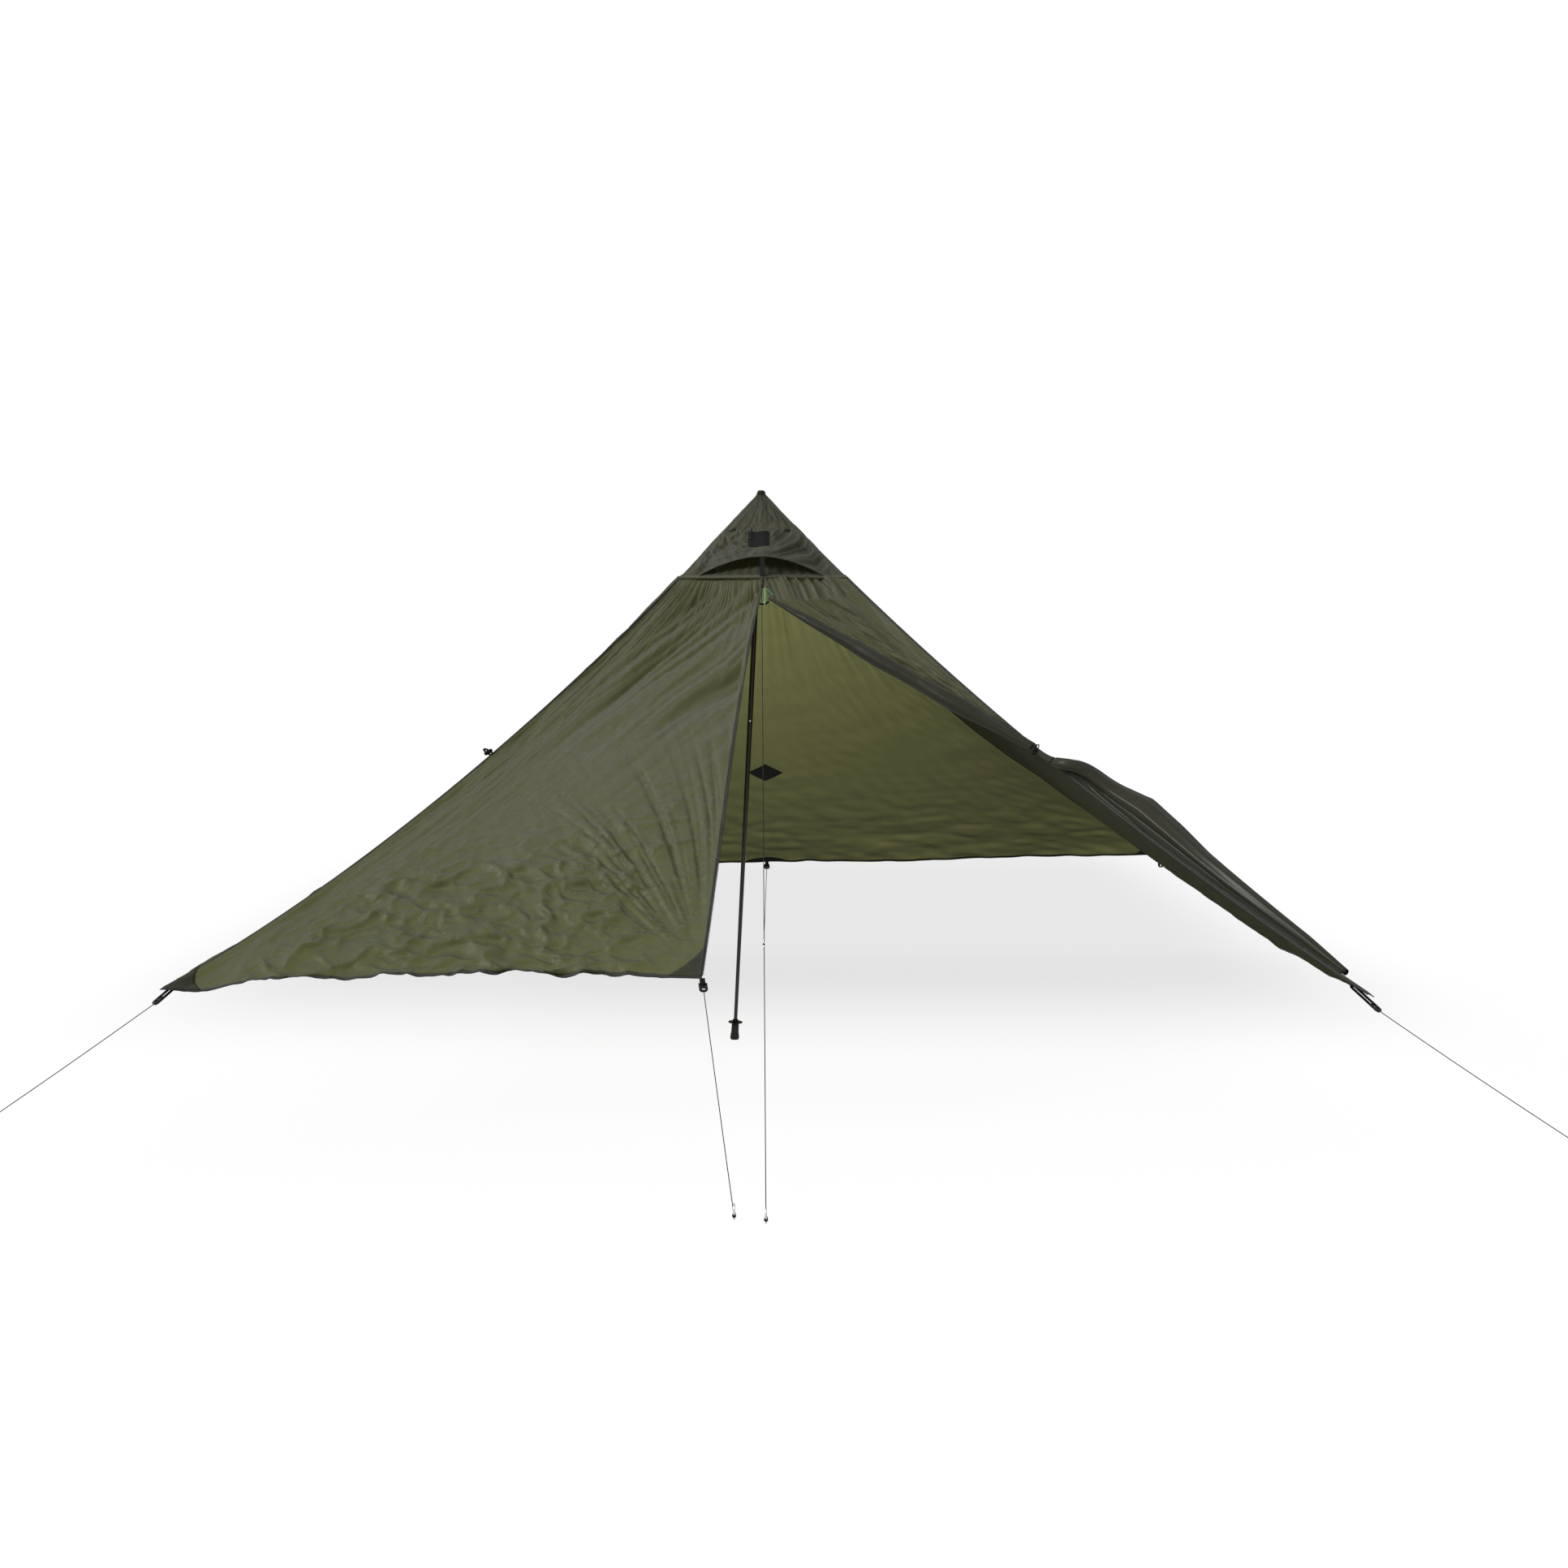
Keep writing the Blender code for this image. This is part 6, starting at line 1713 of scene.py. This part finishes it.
class TARP_OT_hardware(bpy.types.Operator):
    """Finish the pole, the zip's slider and pull, the strut and the toggle"""
    bl_idname = "tarp.hardware"
    bl_label = "Pole and hardware"

    def execute(self, context):
        finishes = {"pole_grip": "grip_foam", "pole_upper_tube": "anodised_tube",
                    "pole_lower_tube": "anodised_tube", "pole_button": "bright_metal",
                    "pole_basket": "moulded_plastic", "pole_foot": "rubber",
                    "zip_slider": "moulded_plastic", "tieback_toggle": "moulded_plastic",
                    "vent_strut": "moulded_plastic"}
        for node, name in finishes.items():
            refinish(node, name)
        self.make_pull()
        return {"FINISHED"}

    def make_pull(self):
        """Thin reflective cord that lies down the door's slope from the slider, and its short tail."""
        at = zip_line(ZIP_OPEN_S)
        along = unit(at - zip_line(ZIP_OPEN_S - 0.002))
        out = unit(np.cross(along, RIGHTWARD))
        hung = at + out * (TAPE_R + SLIDER_THICK / 2.0 + GAP) + along * (SLIDER_LENGTH / 2.0 + PULL_HANG)
        down = np.linspace(0.0, 1.0, 25)
        slope = along[1] / -along[2]
        cords = (("pull_cord", ["zip_pull"], 0.0046, (0.0020, PULL_DROP * slope, -PULL_DROP), PULL_R),
                 ("pull_tail", [], 0.0035, (0.0260, -0.006, -0.0200), TAIL_R))
        for name, nodes, start, reach, radius in cords:
            way = np.stack([0.0010 * np.sin(down * 5.0) + reach[0] * down ** 0.8,
                            -0.0012 * np.sin(down * 7.0) + reach[1] * down, reach[2] * down], axis=-1)
            path = hung + way + (start, 0.0, 0.0)
            piece = add_piece(name, tube_mesh(name, path, radius, 12), "pull_cord",
                              nodes, body="pull")
            if length_of(path) >= 0.03:
                placed(path[0])
                length_of(path)
                2.0 * radius
                [placed(p) for p in path]


class TARP_OT_stage(bpy.types.Operator):
    """Lay the pale floor and set the lights"""
    bl_idname = "tarp.stage"
    bl_label = "Stage"

    def execute(self, context):
        stage = context.scene.tarp_stage
        half = stage.floor_side / 2.0
        mesh = bpy.data.meshes.new("floor")
        mesh.from_pydata([(-half, -half, 0.0), (half, -half, 0.0), (half, half, 0.0),
                          (-half, half, 0.0)], [], [(0, 1, 2, 3)])
        floor = bpy.data.objects.new("floor", mesh)
        context.scene.collection.objects.link(floor)
        mesh.materials.append(self.floor_paint(stage.shade))
        self.set_world(context.scene, stage.sky)
        data = bpy.data.lights.new("key", "SUN")
        data.angle = math.radians(18.0)
        data.energy = stage.key
        lamp = bpy.data.objects.new("key", data)
        context.scene.collection.objects.link(lamp)
        lamp.location = (-5.0, -2.6, 3.0)
        lamp.rotation_euler = (-lamp.location).to_track_quat("-Z", "Y").to_euler()
        context.scene.view_settings.view_transform = "Standard"
        return {"FINISHED"}

    def seen(self, graph):
        """1 where the camera, a gloss or a glass looks, 0 for light that bounces."""
        path = graph.add("ShaderNodeLightPath").socket.node
        rays = ("Is Camera Ray", "Is Glossy Ray", "Is Transmission Ray")
        camera, gloss, glass = (Value(graph, path.outputs[ray]) for ray in rays)
        return (camera + gloss + glass).clamped()

    def floor_paint(self, shade):
        """White to the camera, with a painted soft grey shadow behind the doorway; dark to light that
        bounces.
        """
        material = bpy.data.materials.new("pale_floor")
        graph = Graph(material)
        speck = graph.noise(graph.object_place(), 6.0, 3.0)
        graph.set(Base_Color=graph.colour(speck, (0.84, 0.84, 0.84), (0.88, 0.88, 0.88)),
                  Roughness=0.9, Specular_IOR_Level=0.0)
        across, back, _ = graph.split(graph.object_place())
        # Painted shadow: grey emission over a soft band of floor from just in front of the doorway to 7.5 m
        # behind, standing in for the tarp's cast shadow
        soft = graph.ease((back + 0.45) / 1.85) * graph.ease((7.5 - back) / 3.2)
        soft = soft * graph.ease((2.35 - abs(across - 0.10)) / 0.85)
        white, grey = (graph.add("ShaderNodeEmission", {}, {"Color": (tone, tone, tone, 1.0)})
                       for tone in (1.0, 0.783))
        pale = graph.shaders(1.0 - shade, graph.shaded(), graph.shaders(soft, white, grey))
        bounced = graph.add("ShaderNodeBsdfDiffuse", {}, {"Color": (0.12, 0.12, 0.12, 1.0)})
        graph.show(graph.shaders(self.seen(graph), bounced, pale))
        return material

    def set_world(self, scene, strength):
        """Even light that is stronger from above and from behind, on a white background."""
        world = bpy.data.worlds.new("studio")
        scene.world = world
        graph = Graph(world)
        _, back, height = graph.split(graph.add("ShaderNodeTexCoord"))
        rise = height.clamped() + back.clamped() * 4.6
        graph.set(Color=(1.0, 1.0, 1.0, 1.0), Strength=(0.35 + rise) * strength)
        white = graph.add("ShaderNodeBackground", {}, {"Color": (1.0, 1.0, 1.0, 1.0), "Strength": 1.0})
        graph.show(graph.shaders(self.seen(graph), graph.shaded(), white))


class TARP_PT_dressing(bpy.types.Panel):
    """Buttons and settings of the dressing"""
    bl_idname = "TARP_PT_dressing"
    bl_label = "Tarp dressing"
    bl_space_type = "VIEW_3D"
    bl_region_type = "UI"
    bl_category = "Tarp"

    def draw(self, context):
        for group in (context.scene.tarp_sizes, context.scene.tarp_colours, context.scene.tarp_stage):
            for name in group.__annotations__:
                self.layout.prop(group, name)
        for operator in OPERATORS:
            self.layout.operator(operator.bl_idname)


OPERATORS = (TARP_OT_camera, TARP_OT_lines, TARP_OT_walls, TARP_OT_peak, TARP_OT_open_door,
             TARP_OT_trim, TARP_OT_hardware, TARP_OT_stage)
GROUPS = {"tarp_sizes": TarpSizes, "tarp_colours": TarpColours, "tarp_stage": TarpStage}


def register():
    for group in GROUPS.values():
        bpy.utils.register_class(group)
    for operator in OPERATORS:
        bpy.utils.register_class(operator)
    bpy.utils.register_class(TARP_PT_dressing)
    for name, group in GROUPS.items():
        setattr(bpy.types.Scene, name, PointerProperty(type=group))


def unregister():
    for name in GROUPS:
        delattr(bpy.types.Scene, name)
    bpy.utils.unregister_class(TARP_PT_dressing)
    for operator in reversed(OPERATORS):
        bpy.utils.unregister_class(operator)
    for group in GROUPS.values():
        bpy.utils.unregister_class(group)


def main():
    register()
    bpy.ops.tarp.camera()
    bpy.ops.tarp.lines()
    bpy.ops.tarp.walls()
    bpy.ops.tarp.peak()
    bpy.ops.tarp.open_door()
    bpy.ops.tarp.trim()
    bpy.ops.tarp.hardware()
    bpy.ops.tarp.stage()


if __name__ == "__main__":
    main()
